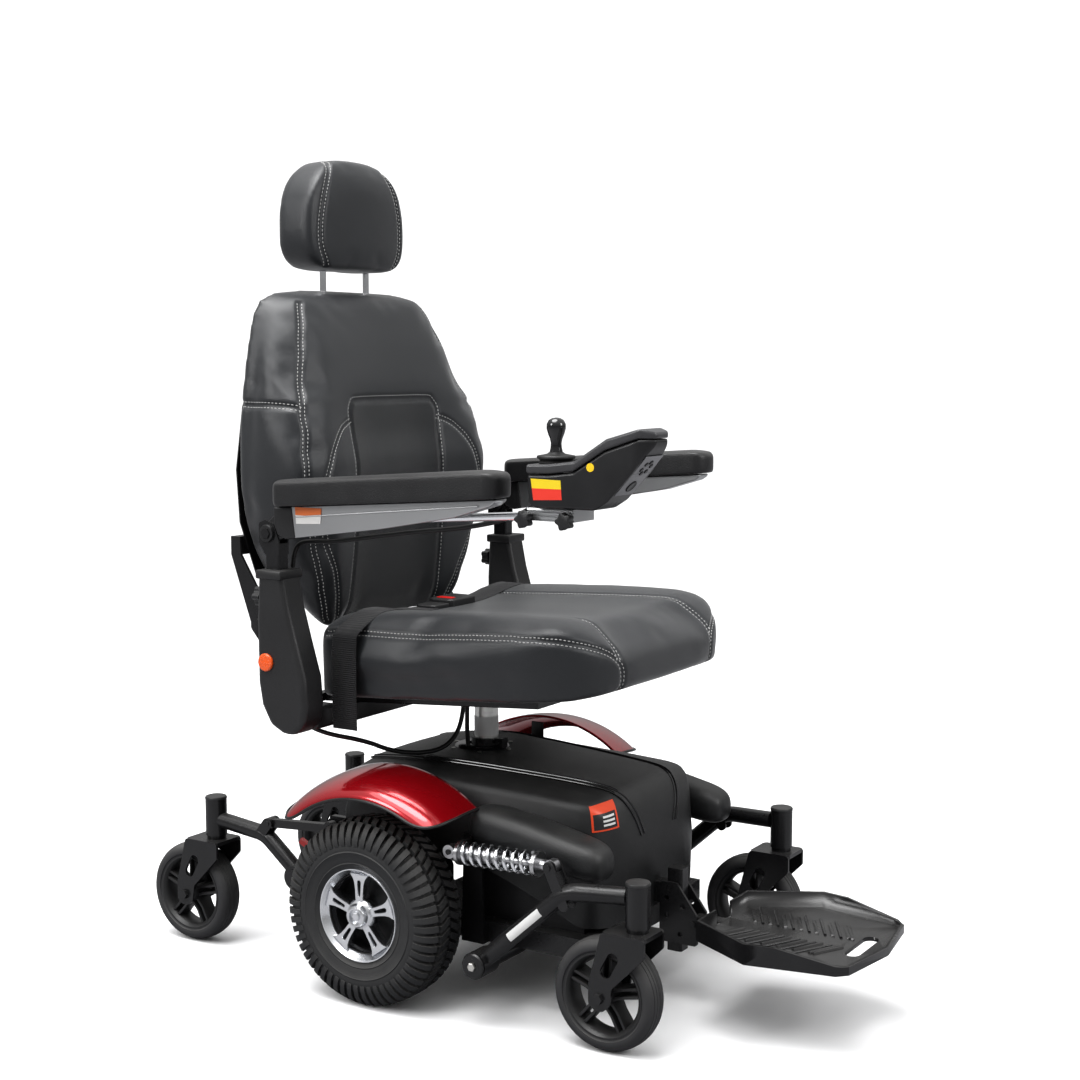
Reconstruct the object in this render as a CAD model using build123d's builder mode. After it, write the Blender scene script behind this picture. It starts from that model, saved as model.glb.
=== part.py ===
from build123d import *
from math import atan2, cos, degrees, hypot, radians, sin
import os

# Mid-wheel power wheelchair with a captain's seat, millimetres.
# Frame: +Z up, floor at z = 0, the drive axle lies at y = 0 and x = 0 is the plane of symmetry.
# The chair faces -Y, so the occupant's right is -X. Paired pieces are drawn on the left (+X)
# and mirrored to the right.

# ---- Driving dimensions ----------------------------------------------------------------------

drive_radius, drive_width, drive_x = 137.0, 88.0, 253.0
rim_bead_half, rim_bead_radius, rim_flange_radius = 33.0, 66.0, 70.0
axle_radius = 8.0

caster_radius, caster_width, caster_trail = 79.5, 40.0, 44.0
barrel_radius, barrel_bottom, barrel_top = 17.0, 178.0, 238.0
front_barrel = (233.0, -428.0)
rear_barrel = (180.0, 371.0)

arm_tube_radius = 12.5
front_pivot = (250.0, -186.0, 90.0)
rear_pivot = (180.0, 198.0, 137.0)
shock_x = 244.0
shock_rear = (-131.0, 241.0)
shock_front = (-300.0, 245.0)
strut_front = (137.0, 221.0)
strut_rear = (256.0, 213.0)

rail_inner, rail_outer, rail_bottom, rail_top = 150.0, 175.0, 92.0, 122.0
tray_top = 103.0

post_y, post_radius = -30.0, 18.5
shroud_top = 335.0

footplate_pivot = (-400.0, 116.0)

seat_slope = 0.07                      # rise of the seat and armrests towards the front
seat_half_width, seat_back, seat_front = 255.0, 112.0, -362.0
cushion_gap = 0.4

arm_x = 303.0
arm_pivot = (142.0, 686.0)
recline_pivot = (225.0, 540.0)

stick_centre = (-300.0, -340.0)
running_gap = 0.05                     # radial clearance of every shaft that turns


# ---- Shared functions ------------------------------------------------------------------------

def save(piece, name):
    """Write one sub-part under its node's name."""
    piece.label = name
    export_step(piece, f"parts/{name}.step")


def save_pair(piece, name):
    """Write the left piece and its mirror image, the right one."""
    save(piece, f"{name}_left")
    save(mirror(piece, about=Plane.YZ), f"{name}_right")


def save_both(piece, name):
    """Write the left piece and its mirror image as two solids of one node."""
    save(Compound(children=[piece, mirror(piece, about=Plane.YZ)]), name)


def seat_bottom(y):
    """Height of the cushion's underside, which rises towards the front."""
    return 445.0 - seat_slope * y


def pad_bottom(y):
    """Height of the armrest pad's underside."""
    return 735.0 - seat_slope * y


def bar_angle(start, end):
    """Angle of a bar in the side view, from +Y towards +Z."""
    return degrees(atan2(end[1] - start[1], end[0] - start[0]))


def middle(start, end):
    """Halfway point of two side-view points."""
    return ((start[0] + end[0]) / 2, (start[1] + end[1]) / 2)


# ---- Drive wheels, motors and gearboxes ------------------------------------------------------

def drive_tyre():
    """Fat pneumatic tyre, its beads seated between the rim flanges."""
    with BuildPart() as tyre:
        with BuildSketch(Plane.XZ) as section:
            with BuildLine():
                right = [(rim_bead_half, rim_bead_radius), (rim_bead_half, rim_flange_radius),
                         (38, 74), (43.5, 92), (43.5, 110), (37, 128), (22, drive_radius)]
                left = [(-x, r) for x, r in reversed(right)]
                Polyline(*[(drive_x + x, drive_radius + r) for x, r in right + left], close=True)
            make_face()
        revolve(axis=Axis((0, 0, drive_radius), (1, 0, 0)))
    return tyre.part


def drive_rim():
    """Cast five-spoke rim with its hub cap and stub axle."""
    with BuildPart() as rim:
        with BuildSketch(Plane.XZ):
            with BuildLine():
                section = [(-37, 62), (-37, 70), (-33, 70), (-33, 66), (33, 66), (33, 70), (37, 70),
                           (37, 64), (32, 58), (24, 58), (20, 62)]
                Polyline(*[(drive_x + x, drive_radius + r) for x, r in section], close=True)
            make_face()
        revolve(axis=Axis((0, 0, drive_radius), (1, 0, 0)))
        with BuildSketch(Plane.YZ.offset(drive_x + 22)):
            with Locations((0, drive_radius)):
                Circle(60)
                with PolarLocations(41, 5, start_angle=54):
                    Trapezoid(30, 26, 62, rotation=90, mode=Mode.SUBTRACT)
                with PolarLocations(45, 5, start_angle=90):
                    SlotOverall(20, 5, mode=Mode.SUBTRACT)
        extrude(amount=9)
        with BuildSketch(Plane.YZ.offset(drive_x - 20)):
            with Locations((0, drive_radius)):
                Circle(22)
        extrude(amount=58)
        with BuildSketch(Plane.YZ.offset(drive_x + 38)):
            with Locations((0, drive_radius)):
                Circle(11)
        extrude(amount=-6, mode=Mode.SUBTRACT)
        with BuildSketch(Plane.YZ.offset(190)):
            with Locations((0, drive_radius)):
                Circle(axle_radius)
        extrude(amount=60)
    return rim.part


def motor():
    """Worm gearbox on the axle with its motor lying behind it."""
    with BuildPart() as unit:
        with BuildSketch(Plane.YZ.offset(100)):
            with Locations((2, 151)):
                RectangleRounded(76, 56, 10)
        extrude(amount=100)
        with BuildSketch(Plane.XZ.offset(-38)):
            with Locations((112, 138)):
                Circle(35)
        extrude(amount=-137)
        with BuildSketch(Plane.YZ.offset(186)):
            with Locations((0, drive_radius)):
                Circle(axle_radius + running_gap)
        extrude(amount=20, mode=Mode.SUBTRACT)
    return unit.part


def freewheel_lever():
    """Red lever that lifts the drive out of gear, behind the wheel."""
    with BuildPart() as lever:
        with BuildSketch(Plane.YZ.offset(160.4)):
            with Locations((175, 170)):
                Circle(10)
                Circle(4 + running_gap, mode=Mode.SUBTRACT)
            with Locations(Location((195, 180), 27)):
                Rectangle(34, 9)
        extrude(amount=7)
    return lever.part


# ---- Chassis ---------------------------------------------------------------------------------

def chassis():
    """Welded frame: two side rails, battery tray, seat tower and suspension brackets."""
    rail_width, rail_height = rail_outer - rail_inner, rail_top - rail_bottom
    rail_middle = (rail_inner + rail_outer) / 2
    with BuildPart() as frame:
        with BuildSketch(Plane.XY.offset(rail_bottom)):
            with Locations((rail_middle, -70), (-rail_middle, -70)):
                Rectangle(rail_width, 492)
            for y in (-308, 188):
                with Locations((0, y)):
                    Rectangle(2 * rail_inner + 2, 20)
        extrude(amount=rail_height)
        with BuildSketch(Plane.XY.offset(98)):
            with Locations((0, -130)):
                Rectangle(2 * rail_inner + 2, 350)
        extrude(amount=tray_top - 98)
        with BuildSketch(Plane.XY.offset(98)):
            with Locations((0, post_y)):
                RectangleRounded(50, 50, 6)
        extrude(amount=231)
        with BuildSketch(Plane.XY.offset(300)):
            with Locations((0, post_y)):
                Circle(post_radius)
        extrude(amount=29, mode=Mode.SUBTRACT)
        # receiver of the footrest post
        with BuildSketch(Plane.XY.offset(rail_bottom)):
            with Locations((0, -309)):
                Rectangle(30, 18)
        extrude(amount=78)
        with BuildSketch(Plane.XZ.offset(310)):
            with Locations((0, 155)):
                Rectangle(23, 30)
        extrude(amount=46)
        for side in (1, -1):
            suspension_brackets(side)
    return frame.part


def suspension_brackets(side):
    """Brackets and pins that carry the arms, the shocks and the rear struts on one side."""
    def pin(x_from, x_to, radius, y, z):
        with BuildSketch(Plane.YZ.offset(side * x_from)) as disc:
            with Locations((y, z)):
                Circle(radius)
        extrude(disc.sketch, amount=side * (x_to - x_from))

    def plate(x_from, x_to, outline):
        with BuildSketch(Plane.YZ.offset(side * x_from)) as face:
            with BuildLine():
                Polyline(*outline, close=True)
            make_face()
        extrude(face.sketch, amount=side * (x_to - x_from))

    # front arm pivot: a stub through the rail, turned down to the pin, with its end washer
    pin(rail_inner, 230.8, 14, front_pivot[1], front_pivot[2])
    pin(230.8, 272, 6, front_pivot[1], front_pivot[2])
    pin(269.2, 273, 11, front_pivot[1], front_pivot[2])
    # shock tower
    plate(184, 190, [(-150, 92), (-112, 92), (-116, 252), (-146, 252)])
    plate(rail_inner, 190, [(-150, 92), (-112, 92), (-112, 122), (-150, 122)])
    pin(190, 236, 9, *shock_rear)
    pin(236, 252, 4, *shock_rear)
    # rear arm and strut plate
    plate(rail_inner, 160, [(118, 92), (216, 92), (216, 152), (152, 234), (124, 234), (118, 222)])
    pin(158, 198, 8, rear_pivot[1], rear_pivot[2])
    pin(198, 201, 13, rear_pivot[1], rear_pivot[2])
    pin(158, 190, 5, *strut_front)
    pin(158, 172, 4, 175, 170)


def batteries():
    """Two sealed batteries standing on the tray, one each side."""
    with BuildPart() as pair:
        with BuildSketch(Plane.XY.offset(tray_top)):
            with Locations((73, -197), (-73, -197)):
                Rectangle(130, 184)
        extrude(amount=172)
        chamfer(pair.edges().group_by(Axis.Z)[-1], 4)
        for side in (1, -1):
            with BuildSketch(Plane.XY.offset(tray_top + 172)):
                with Locations((side * 40, -270), (side * 106, -270)):
                    Circle(7)
            extrude(amount=9)
    return pair.part


# ---- Body shroud and fenders -----------------------------------------------------------------

shroud_sections = [
    # y, then half-width and height of the top edge, shoulder, side and hem
    (118, (112, 318), (146, 300), (164, 250), (164, 222)),
    (10, (136, 335), (163, 322), (170, 262), (170, 214)),
    (-150, (130, 331), (164, 307), (176, 262), (172, 200)),
    (-292, (108, 319), (158, 292), (172, 240), (160, 132)),
    (-334, (92, 300), (128, 262), (132, 200), (112, 128)),
]


def shroud_outline(section, inset, hem_drop):
    """Closed outline of one cross-section, made smaller by the wall for the hollow inside."""
    top, shoulder, side, hem = section[1:]
    half = [(top[0] - inset, top[1] - inset), (shoulder[0] - inset, shoulder[1] - inset),
            (side[0] - inset, side[1]), (hem[0] - inset, hem[1] - hem_drop)]
    return half + [(-x, z) for x, z in reversed(half)]


def loft_shroud(inset, hem_drop, y_shift):
    """Ruled loft through the shroud's cross-sections."""
    with BuildPart() as block:
        for section in shroud_sections:
            with BuildSketch(Plane.XZ.offset(-section[0] - y_shift(section))):
                with BuildLine():
                    Polyline(*shroud_outline(section, inset, hem_drop), close=True)
                make_face()
        loft(ruled=True)
    return block.part


def shroud():
    """Moulded cover over the batteries, with a pod on each side and the post's flange ring."""
    wall = 3.0
    outer = loft_shroud(0, 0, lambda section: 0)
    hollow = loft_shroud(wall, 6, lambda section: {118: 40, -334: -wall}.get(section[0], 0) * -1)
    with BuildPart() as cover:
        add(outer)
        for side in (1, -1):
            with BuildSketch(Plane.XZ.offset(158)):
                with Locations((side * 186, 264)):
                    RectangleRounded(70, 74, 30)
            extrude(amount=196)
        pod_noses = cover.faces().filter_by(Axis.Y).sort_by(Axis.Y)[0:2]
        fillet(pod_noses.edges(), 22)
        add(hollow, mode=Mode.SUBTRACT)
        for side in (1, -1):
            with BuildSketch(Plane.XZ.offset(161)):
                with Locations((side * 180, 264)):
                    RectangleRounded(76, 66, 27)
            extrude(amount=165, mode=Mode.SUBTRACT)
        # arched mouth for the footrest receiver
        with BuildSketch(Plane.XZ.offset(300)):
            with Locations((0, 172)):
                Circle(27)
            with Locations((0, 140)):
                Rectangle(54, 64)
        extrude(amount=60, mode=Mode.SUBTRACT)
        # hole and ring round the seat tower
        with BuildSketch(Plane.XY.offset(270)):
            with Locations((0, post_y)):
                Circle(40)
        extrude(amount=80, mode=Mode.SUBTRACT)
        with BuildSketch(Plane.XY.offset(327)):
            with Locations((0, post_y)):
                Circle(54)
                Circle(40, mode=Mode.SUBTRACT)
        extrude(amount=11)
    return cover.part


fender_centre = (-12.0, 125.0)
fender_start, fender_span = 44.0, 84.0


def fender():
    """Painted mudguard: an arched shell turned about an axis close to the drive axle."""
    profile = [(303, 187), (300, 193), (286, 205), (262, 214), (235, 218.5), (204, 220)]
    inner = [(x - (3 if i < 2 else 0), r - 3) for i, (x, r) in enumerate(profile)]
    y, z = fender_centre
    start_plane = Plane(origin=(0, y, z), x_dir=(1, 0, 0),
                        z_dir=(0, -sin(radians(fender_start)), cos(radians(fender_start))))
    with BuildPart() as guard:
        with BuildSketch(start_plane):
            with BuildLine():
                top = Spline(*profile)
                Line(profile[-1], inner[-1])
                bottom = Spline(*reversed(inner))
                Line(inner[0], profile[0])
            make_face()
            with Locations((205.5, 204)):
                Rectangle(3, 30)
        revolve(axis=Axis((0, y, z), (1, 0, 0)), revolution_arc=fender_span)
        # strap down to the gearbox
        with BuildSketch(Plane.YZ.offset(200)):
            with Locations((2, 236)):
                Rectangle(22, 162)
        extrude(amount=4.5)
    return guard.part


# ---- Suspension and casters ------------------------------------------------------------------

def barrel(centre):
    """Caster housing with the stem's bore and a closed cap; joins the part under construction."""
    with BuildSketch(Plane.XY.offset(barrel_bottom)) as tube:
        with Locations(centre):
            Circle(barrel_radius)
    extrude(tube.sketch, amount=barrel_top - barrel_bottom)
    with BuildSketch(Plane.XY.offset(barrel_bottom)) as bore:
        with Locations(centre):
            Circle(axle_radius + running_gap)
    extrude(bore.sketch, amount=54, mode=Mode.SUBTRACT)


def front_arm():
    """Swing arm from its pivot up to the front caster, with the two lugs of the shock."""
    x, y, z = front_pivot
    boss_half = 18.7
    with BuildPart() as arm:
        with BuildLine() as path:
            FilletPolyline((x, y, z), (x - 4, -324, 214), (front_barrel[0], -412, 218), radius=55)
        with BuildSketch(Plane(origin=path.line @ 0, z_dir=path.line % 0)):
            Circle(arm_tube_radius)
        sweep()
        with BuildSketch(Plane.YZ.offset(x - boss_half)):
            with Locations((y, z)):
                Circle(19)
        extrude(amount=2 * boss_half)
        with BuildSketch(Plane.YZ.offset(x - boss_half)):
            with Locations((y, z)):
                Circle(6 + running_gap)
        extrude(amount=2 * boss_half, mode=Mode.SUBTRACT)
        lug_foot, lug_eye = (-324, 196), shock_front
        length = hypot(lug_eye[0] - lug_foot[0], lug_eye[1] - lug_foot[1])
        for inner_face in (shock_x - 12, shock_x + 8):
            with BuildSketch(Plane.YZ.offset(inner_face)):
                with Locations(Location(middle(lug_foot, lug_eye), bar_angle(lug_foot, lug_eye))):
                    SlotCenterToCenter(length, 16)
            extrude(amount=4)
        with BuildSketch(Plane.YZ.offset(shock_x - 14)):
            with Locations(shock_front):
                Circle(4)
        extrude(amount=28)
        barrel(front_barrel)
    return arm.part


def rear_arm():
    """Bent tube from its pivot behind the wheel to the rear caster, with the strut's clevis."""
    x, y, z = rear_pivot
    boss_half = 17.6
    with BuildPart() as arm:
        with BuildLine() as path:
            FilletPolyline((x, y, z), (x, 268, 193), (x, 360, 203), radius=50)
        with BuildSketch(Plane(origin=path.line @ 0, z_dir=path.line % 0)):
            Circle(arm_tube_radius)
        sweep()
        with BuildSketch(Plane.YZ.offset(x - boss_half)):
            with Locations((y, z)):
                Circle(19)
        extrude(amount=2 * boss_half)
        with BuildSketch(Plane.YZ.offset(x - boss_half)):
            with Locations((y, z)):
                Circle(8 + running_gap)
        extrude(amount=2 * boss_half, mode=Mode.SUBTRACT)
        for inner_face in (x - 11, x + 7):
            with BuildSketch(Plane.YZ.offset(inner_face)):
                with Locations(Location((strut_rear[0] + 6, strut_rear[1] - 7.5), -51.3)):
                    SlotCenterToCenter(19, 18)
            extrude(amount=4)
        with BuildSketch(Plane.YZ.offset(x - 12)):
            with Locations(strut_rear):
                Circle(4)
        extrude(amount=24)
        barrel(rear_barrel)
    return arm.part


def rear_strut():
    """Rubber-sprung strut that holds the rear arm down."""
    x = rear_pivot[0]
    length = hypot(strut_rear[0] - strut_front[0], strut_rear[1] - strut_front[1])
    angle = bar_angle(strut_front, strut_rear)
    with BuildPart() as strut:
        with BuildSketch(Plane.YZ.offset(x - 6)):
            with Locations(strut_front):
                Circle(11)
            with Locations(strut_rear):
                Circle(9)
            with Locations(Location(middle(strut_front, strut_rear), angle)):
                Rectangle(length, 13)
        extrude(amount=12)
        with BuildSketch(Plane.YZ.offset(x - 6)):
            with Locations(strut_front):
                Circle(5)
            with Locations(strut_rear):
                Circle(6)
        extrude(amount=12, mode=Mode.SUBTRACT)
    return strut.part


shock_length = hypot(shock_front[0] - shock_rear[0], shock_front[1] - shock_rear[1])
shock_axis = Plane(origin=(shock_x, *shock_rear), x_dir=(1, 0, 0),
                   z_dir=(0, shock_front[0] - shock_rear[0], shock_front[1] - shock_rear[1]))


def shock_stage(radius, start, end, mode=Mode.ADD):
    """One turned length of the shock, measured from its rear eye towards the front."""
    with BuildSketch(shock_axis.offset(start)) as disc:
        Circle(radius)
    extrude(disc.sketch, amount=end - start, mode=mode)


def shock_eye(centre, radius, bore):
    """Cross-drilled eye of the shock."""
    for disc_radius, mode in ((radius, Mode.ADD), (bore, Mode.SUBTRACT)):
        with BuildSketch(Plane.YZ.offset(shock_x - 6)) as disc:
            with Locations(centre):
                Circle(disc_radius)
        extrude(disc.sketch, amount=12, mode=mode)


def shock_body():
    """Damper body with its rear eye and spring seat."""
    with BuildPart() as body:
        shock_stage(7, 7, 20)
        shock_stage(17.5, 16, 21)
        shock_stage(11, 20, 84)
        shock_stage(5 + running_gap, 30, 84, Mode.SUBTRACT)
        shock_eye(shock_rear, 10, 4 + running_gap)
    return body.part


def shock_rod():
    """Piston rod with its front spring seat and eye."""
    with BuildPart() as rod:
        shock_stage(5, 58, shock_length - 8)
        shock_stage(17.5, 143, 149)
        shock_stage(8, 148, 160)
        shock_eye(shock_front, 10, 6.2)
    return rod.part


def shock_spring():
    """Chrome coil spring round the damper."""
    wire, coil_radius, turns = 2.3, 15.0, 8.5
    start, end = 24.0, 140.0
    with BuildPart() as spring:
        foot = shock_axis.offset(start)
        with BuildLine() as path:
            Helix(pitch=(end - start) / turns, height=end - start, radius=coil_radius,
                  center=foot.origin, direction=foot.z_dir)
        with BuildSketch(Plane(origin=path.line @ 0, z_dir=path.line % 0)):
            Circle(wire)
        sweep(is_frenet=True)
    return spring.part


def caster_fork(centre):
    """Swivel fork: stem, crown plate, two slotted cheeks and the axle bolt."""
    cx, cy = centre
    cheek_gap = 24.5
    axle = (cy + caster_trail, caster_radius)
    with BuildPart() as fork:
        with BuildSketch(Plane.XY.offset(166)):
            with Locations((cx, cy + 8)):
                RectangleRounded(2 * cheek_gap + 9, 66, 8)
        extrude(amount=6)
        with BuildSketch(Plane.XY.offset(172)):
            with Locations(centre):
                Circle(15)
        extrude(amount=5.5)
        with BuildSketch(Plane.XY.offset(172)):
            with Locations(centre):
                Circle(axle_radius)
        extrude(amount=59)
        for x_from in (cx - cheek_gap - 4.5, cx + cheek_gap):
            with BuildSketch(Plane.YZ.offset(x_from)):
                with BuildLine():
                    Polyline((cy - 25, 172), (cy + 41, 172), (cy + 60, 98), (cy + 60, 70),
                             (cy + 50, 62), (cy + 38, 62), (cy + 28, 70), (cy + 24, 96),
                             (cy - 25, 146), close=True)
                make_face()
                fillet(vertices(), 6)
                with Locations(Location((cy + 28, 128), -62)):
                    SlotCenterToCenter(22, 17, mode=Mode.SUBTRACT)
            extrude(amount=4.5)
        with BuildSketch(Plane.YZ.offset(cx - cheek_gap - 8)):
            with Locations(axle):
                Circle(4)
        extrude(amount=2 * cheek_gap + 16)
        for x_from in (cx - cheek_gap - 10, cx + cheek_gap + 4.5):
            with BuildSketch(Plane.YZ.offset(x_from)):
                with Locations(axle):
                    RegularPolygon(7.5, 6)
            extrude(amount=5.5)
    return fork.part


def caster_wheel(centre):
    """Caster: solid rubber tyre on a spoked plastic hub, two solids."""
    cx, cy = centre
    axle = Axis((cx, cy + caster_trail, caster_radius), (1, 0, 0))
    plane = Plane.XZ.offset(-cy - caster_trail)
    with BuildPart() as tyre:
        with BuildSketch(plane):
            with BuildLine():
                half = [(16, 58), (20, 62), (20, 70), (15, 77.5), (8, caster_radius)]
                left = [(-x, r) for x, r in reversed(half)]
                Polyline(*[(cx + x, caster_radius + r) for x, r in half + left], close=True)
            make_face()
        revolve(axis=axle)
    with BuildPart() as hub:
        with BuildSketch(plane):
            with BuildLine():
                section = [(-16, 52), (-16, 58), (16, 58), (16, 52), (4, 48), (4, 18), (23.5, 16),
                           (23.5, 4 + running_gap), (-23.5, 4 + running_gap), (-23.5, 16),
                           (-4, 18), (-4, 48)]
                Polyline(*[(cx + x, caster_radius + r) for x, r in section], close=True)
            make_face()
        revolve(axis=axle)
        with BuildSketch(Plane.YZ.offset(cx - 10)):
            with Locations((cy + caster_trail, caster_radius)):
                with PolarLocations(33, 6):
                    SlotOverall(22, 11, mode=Mode.ADD)
        extrude(amount=20, mode=Mode.SUBTRACT)
    return Compound(children=[tyre.part, hub.part])


# ---- Seat base, post and footrest ------------------------------------------------------------

def post_collar():
    """Clamp collar round the seat post, with its two clamp bolts."""
    with BuildPart() as collar:
        with BuildSketch(Plane.XY.offset(329)):
            with Locations((0, post_y)):
                Circle(23.5)
            with Locations((0, post_y - 27)):
                Rectangle(16, 14)
            with Locations((0, post_y)):
                Circle(post_radius, mode=Mode.SUBTRACT)
        extrude(amount=22)
        with BuildSketch(Plane.YZ.offset(-14)):
            with Locations((post_y - 28, 335), (post_y - 28, 345)):
                Circle(3)
        extrude(amount=28)
    return collar.part


def seat_post():
    """Steel post between the seat tower and the seat pan."""
    with BuildPart() as post:
        with BuildSketch(Plane.XY.offset(300)):
            with Locations((0, post_y)):
                Circle(post_radius)
        extrude(amount=120)
    return post.part


def seat_pan():
    """Pressed seat plate with its post hub, armrest receiver and recline plates."""
    half, thick = 200.0, 12.0
    front, back = -250.0, 150.0
    with BuildPart() as pan:
        with BuildSketch(Plane.YZ.offset(-half)):
            with BuildLine():
                Polyline((front, seat_bottom(front) - cushion_gap),
                         (back, seat_bottom(back) - cushion_gap),
                         (back, seat_bottom(back) - cushion_gap - thick),
                         (front, seat_bottom(front) - cushion_gap - thick), close=True)
            make_face()
        extrude(amount=2 * half)
        with BuildSketch(Plane.XY.offset(420)):
            with Locations((0, post_y)):
                Circle(55)
        extrude(amount=20)
        with BuildSketch(Plane.YZ.offset(-238)):
            with Locations((89, 411)):
                Rectangle(26, 26)
        extrude(amount=476)
        with BuildSketch(Plane.XY.offset(411)):
            with Locations((150, 89), (-150, 89)):
                Rectangle(30, 26)
        extrude(amount=20)
        for side in (1, -1):
            with BuildSketch(Plane.YZ.offset(side * 222)):
                with BuildLine():
                    Polyline((120, 424), (160, 424), (250, 528), (250, 555), (205, 555), (120, 446),
                             close=True)
                make_face()
                fillet(vertices(), 8)
            extrude(amount=side * 5)
            with BuildSketch(Plane.YZ.offset(side * 200)):
                with Locations((140, 430)):
                    Rectangle(24, 12)
            extrude(amount=side * 24)
            with BuildSketch(Plane.YZ.offset(side * 227)):
                with Locations(recline_pivot):
                    Circle(6)
            extrude(amount=side * 15)
    return pan.part


def footrest_post():
    """Square upright on the chassis receiver, with the footplate's hinge plates."""
    with BuildPart() as post:
        with BuildSketch(Plane.XY.offset(70)):
            with Locations((0, -368)):
                RectangleRounded(24, 24, 3)
        extrude(amount=124)
        for x_from in (-16.5, 12):
            with BuildSketch(Plane.YZ.offset(x_from)):
                with BuildLine():
                    Polyline((-346, 174), (-346, 84), (-408, 84), (-408, 128), (-374, 174),
                             close=True)
                make_face()
                fillet(vertices(), 5)
                with Locations((-358, 150), (-358, 124), (-384, 140), (-380, 98)):
                    Circle(4, mode=Mode.SUBTRACT)
            extrude(amount=4.5)
        with BuildSketch(Plane.YZ.offset(-20)):
            with Locations(footplate_pivot):
                Circle(5)
        extrude(amount=40)
    return post.part


def footplate():
    """Tray-shaped footplate with raised side walls, tread ribs, a grip slot and its hinge ear."""
    floor, top = 119.0, 148.0
    outline = [(84, -440), (140, -540), (118, -664), (104, -678), (0, -694),
               (-104, -678), (-118, -664), (-140, -540), (-84, -440)]
    inner = [(80, -444), (135, -540), (114, -658), (102, -673), (0, -689),
             (-102, -673), (-114, -658), (-135, -540), (-80, -444)]
    with BuildPart() as plate:
        with BuildSketch(Plane.XY.offset(floor)):
            with BuildLine():
                Polyline(*outline, close=True)
            make_face()
        extrude(amount=top - floor)
        with BuildSketch(Plane.XY.offset(floor + 6)):
            with BuildLine():
                Polyline(*inner, close=True)
            make_face()
        extrude(amount=top - floor, mode=Mode.SUBTRACT)
        # the walls run down to the tray's floor before the front edge
        with BuildSketch(Plane.YZ.offset(-160)):
            with BuildLine():
                Polyline((-575, top + 1), (-672, floor + 12), (-700, floor + 12), (-700, top + 1),
                         close=True)
            make_face()
        extrude(amount=320, mode=Mode.SUBTRACT)
        # gap in the rear wall that clears the upright when the tray folds up
        with BuildSketch(Plane.XY.offset(floor + 6)):
            with Locations((0, -440)):
                Rectangle(50, 12)
        extrude(amount=top - floor, mode=Mode.SUBTRACT)
        with BuildSketch(Plane.XY.offset(floor - 1)):
            with Locations((0, -655)):
                SlotOverall(92, 22)
        extrude(amount=20, mode=Mode.SUBTRACT)
        # hinge ear between the post's plates
        with BuildSketch(Plane.YZ.offset(-11.5)):
            with Locations(footplate_pivot):
                Circle(10)
            with Locations((-422, 121)):
                Rectangle(44, 10)
        extrude(amount=23)
        with BuildSketch(Plane.YZ.offset(-11.5)):
            with Locations(footplate_pivot):
                Circle(5 + running_gap)
        extrude(amount=23, mode=Mode.SUBTRACT)
        for y in range(-640, -450, 24):
            for side in (1, -1):
                with BuildSketch(Plane.XY.offset(floor + 5)):
                    with Locations(Location((side * 42, y if y > -630 else -622), side * 28)):
                        Rectangle(52, 5)
                extrude(amount=3.5)
    return plate.part


# ---- Seat cushions, belt and backrest --------------------------------------------------------

def seat_cushion():
    """Plain closed solid of the padded seat."""
    half = seat_half_width
    with BuildPart() as cushion:
        with BuildSketch(Plane.YZ.offset(-half)):
            with BuildLine():
                Polyline((seat_back, seat_bottom(seat_back)), (seat_back, 548), (0, 560),
                         (-180, 570), (-320, 566), (seat_front + 6, 540), (seat_front, 510),
                         (seat_front + 14, 480), (-320, seat_bottom(-320)), close=True)
            make_face()
        extrude(amount=2 * half)
        with BuildSketch(Plane.XY.offset(400), mode=Mode.PRIVATE) as plan:
            with Locations((0, (seat_back + seat_front) / 2)):
                RectangleRounded(2 * half, seat_back - seat_front, 70)
        extrude(plan.sketch, amount=200, mode=Mode.INTERSECT)
    return cushion.part


def seat_belt():
    """Lap belt: two webbing straps over the cushion's edges and the buckle halves on top."""
    strap_y, strap_width, strap_thick = 44.0, 44.0, 2.0
    lift = 562.0
    with BuildPart() as belt:
        for side in (1, -1):
            outline = [(side * 262, 396), (side * 262, lift), (side * 44, lift),
                       (side * 44, lift - strap_thick), (side * 260, lift - strap_thick),
                       (side * 260, 396)]
            with BuildSketch(Plane.XZ.offset(-strap_y - strap_width / 2)):
                with BuildLine():
                    Polyline(*outline, close=True)
                make_face()
            extrude(amount=strap_width)
        with BuildSketch(Plane.XY.offset(lift - 3)):
            with Locations((20, strap_y)):
                RectangleRounded(60, 46, 8)
            with Locations((-32, strap_y)):
                RectangleRounded(40, 38, 6)
        extrude(amount=13)
    return belt.part


back_outline = [(184, 526), (204, 600), (246, 690), (252, 770), (236, 868), (166, 1040), (150, 1050)]
back_rear_outline = [(190, 640), (236, 706), (248, 782), (246, 880), (212, 1024), (190, 1048)]
back_side = [(262, 600), (262, 1030), (246, 1050), (212, 1050), (196, 1030), (146, 880), (127, 780),
             (132, 640), (146, 526), (196, 526), (222, 590), (240, 600)]


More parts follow.
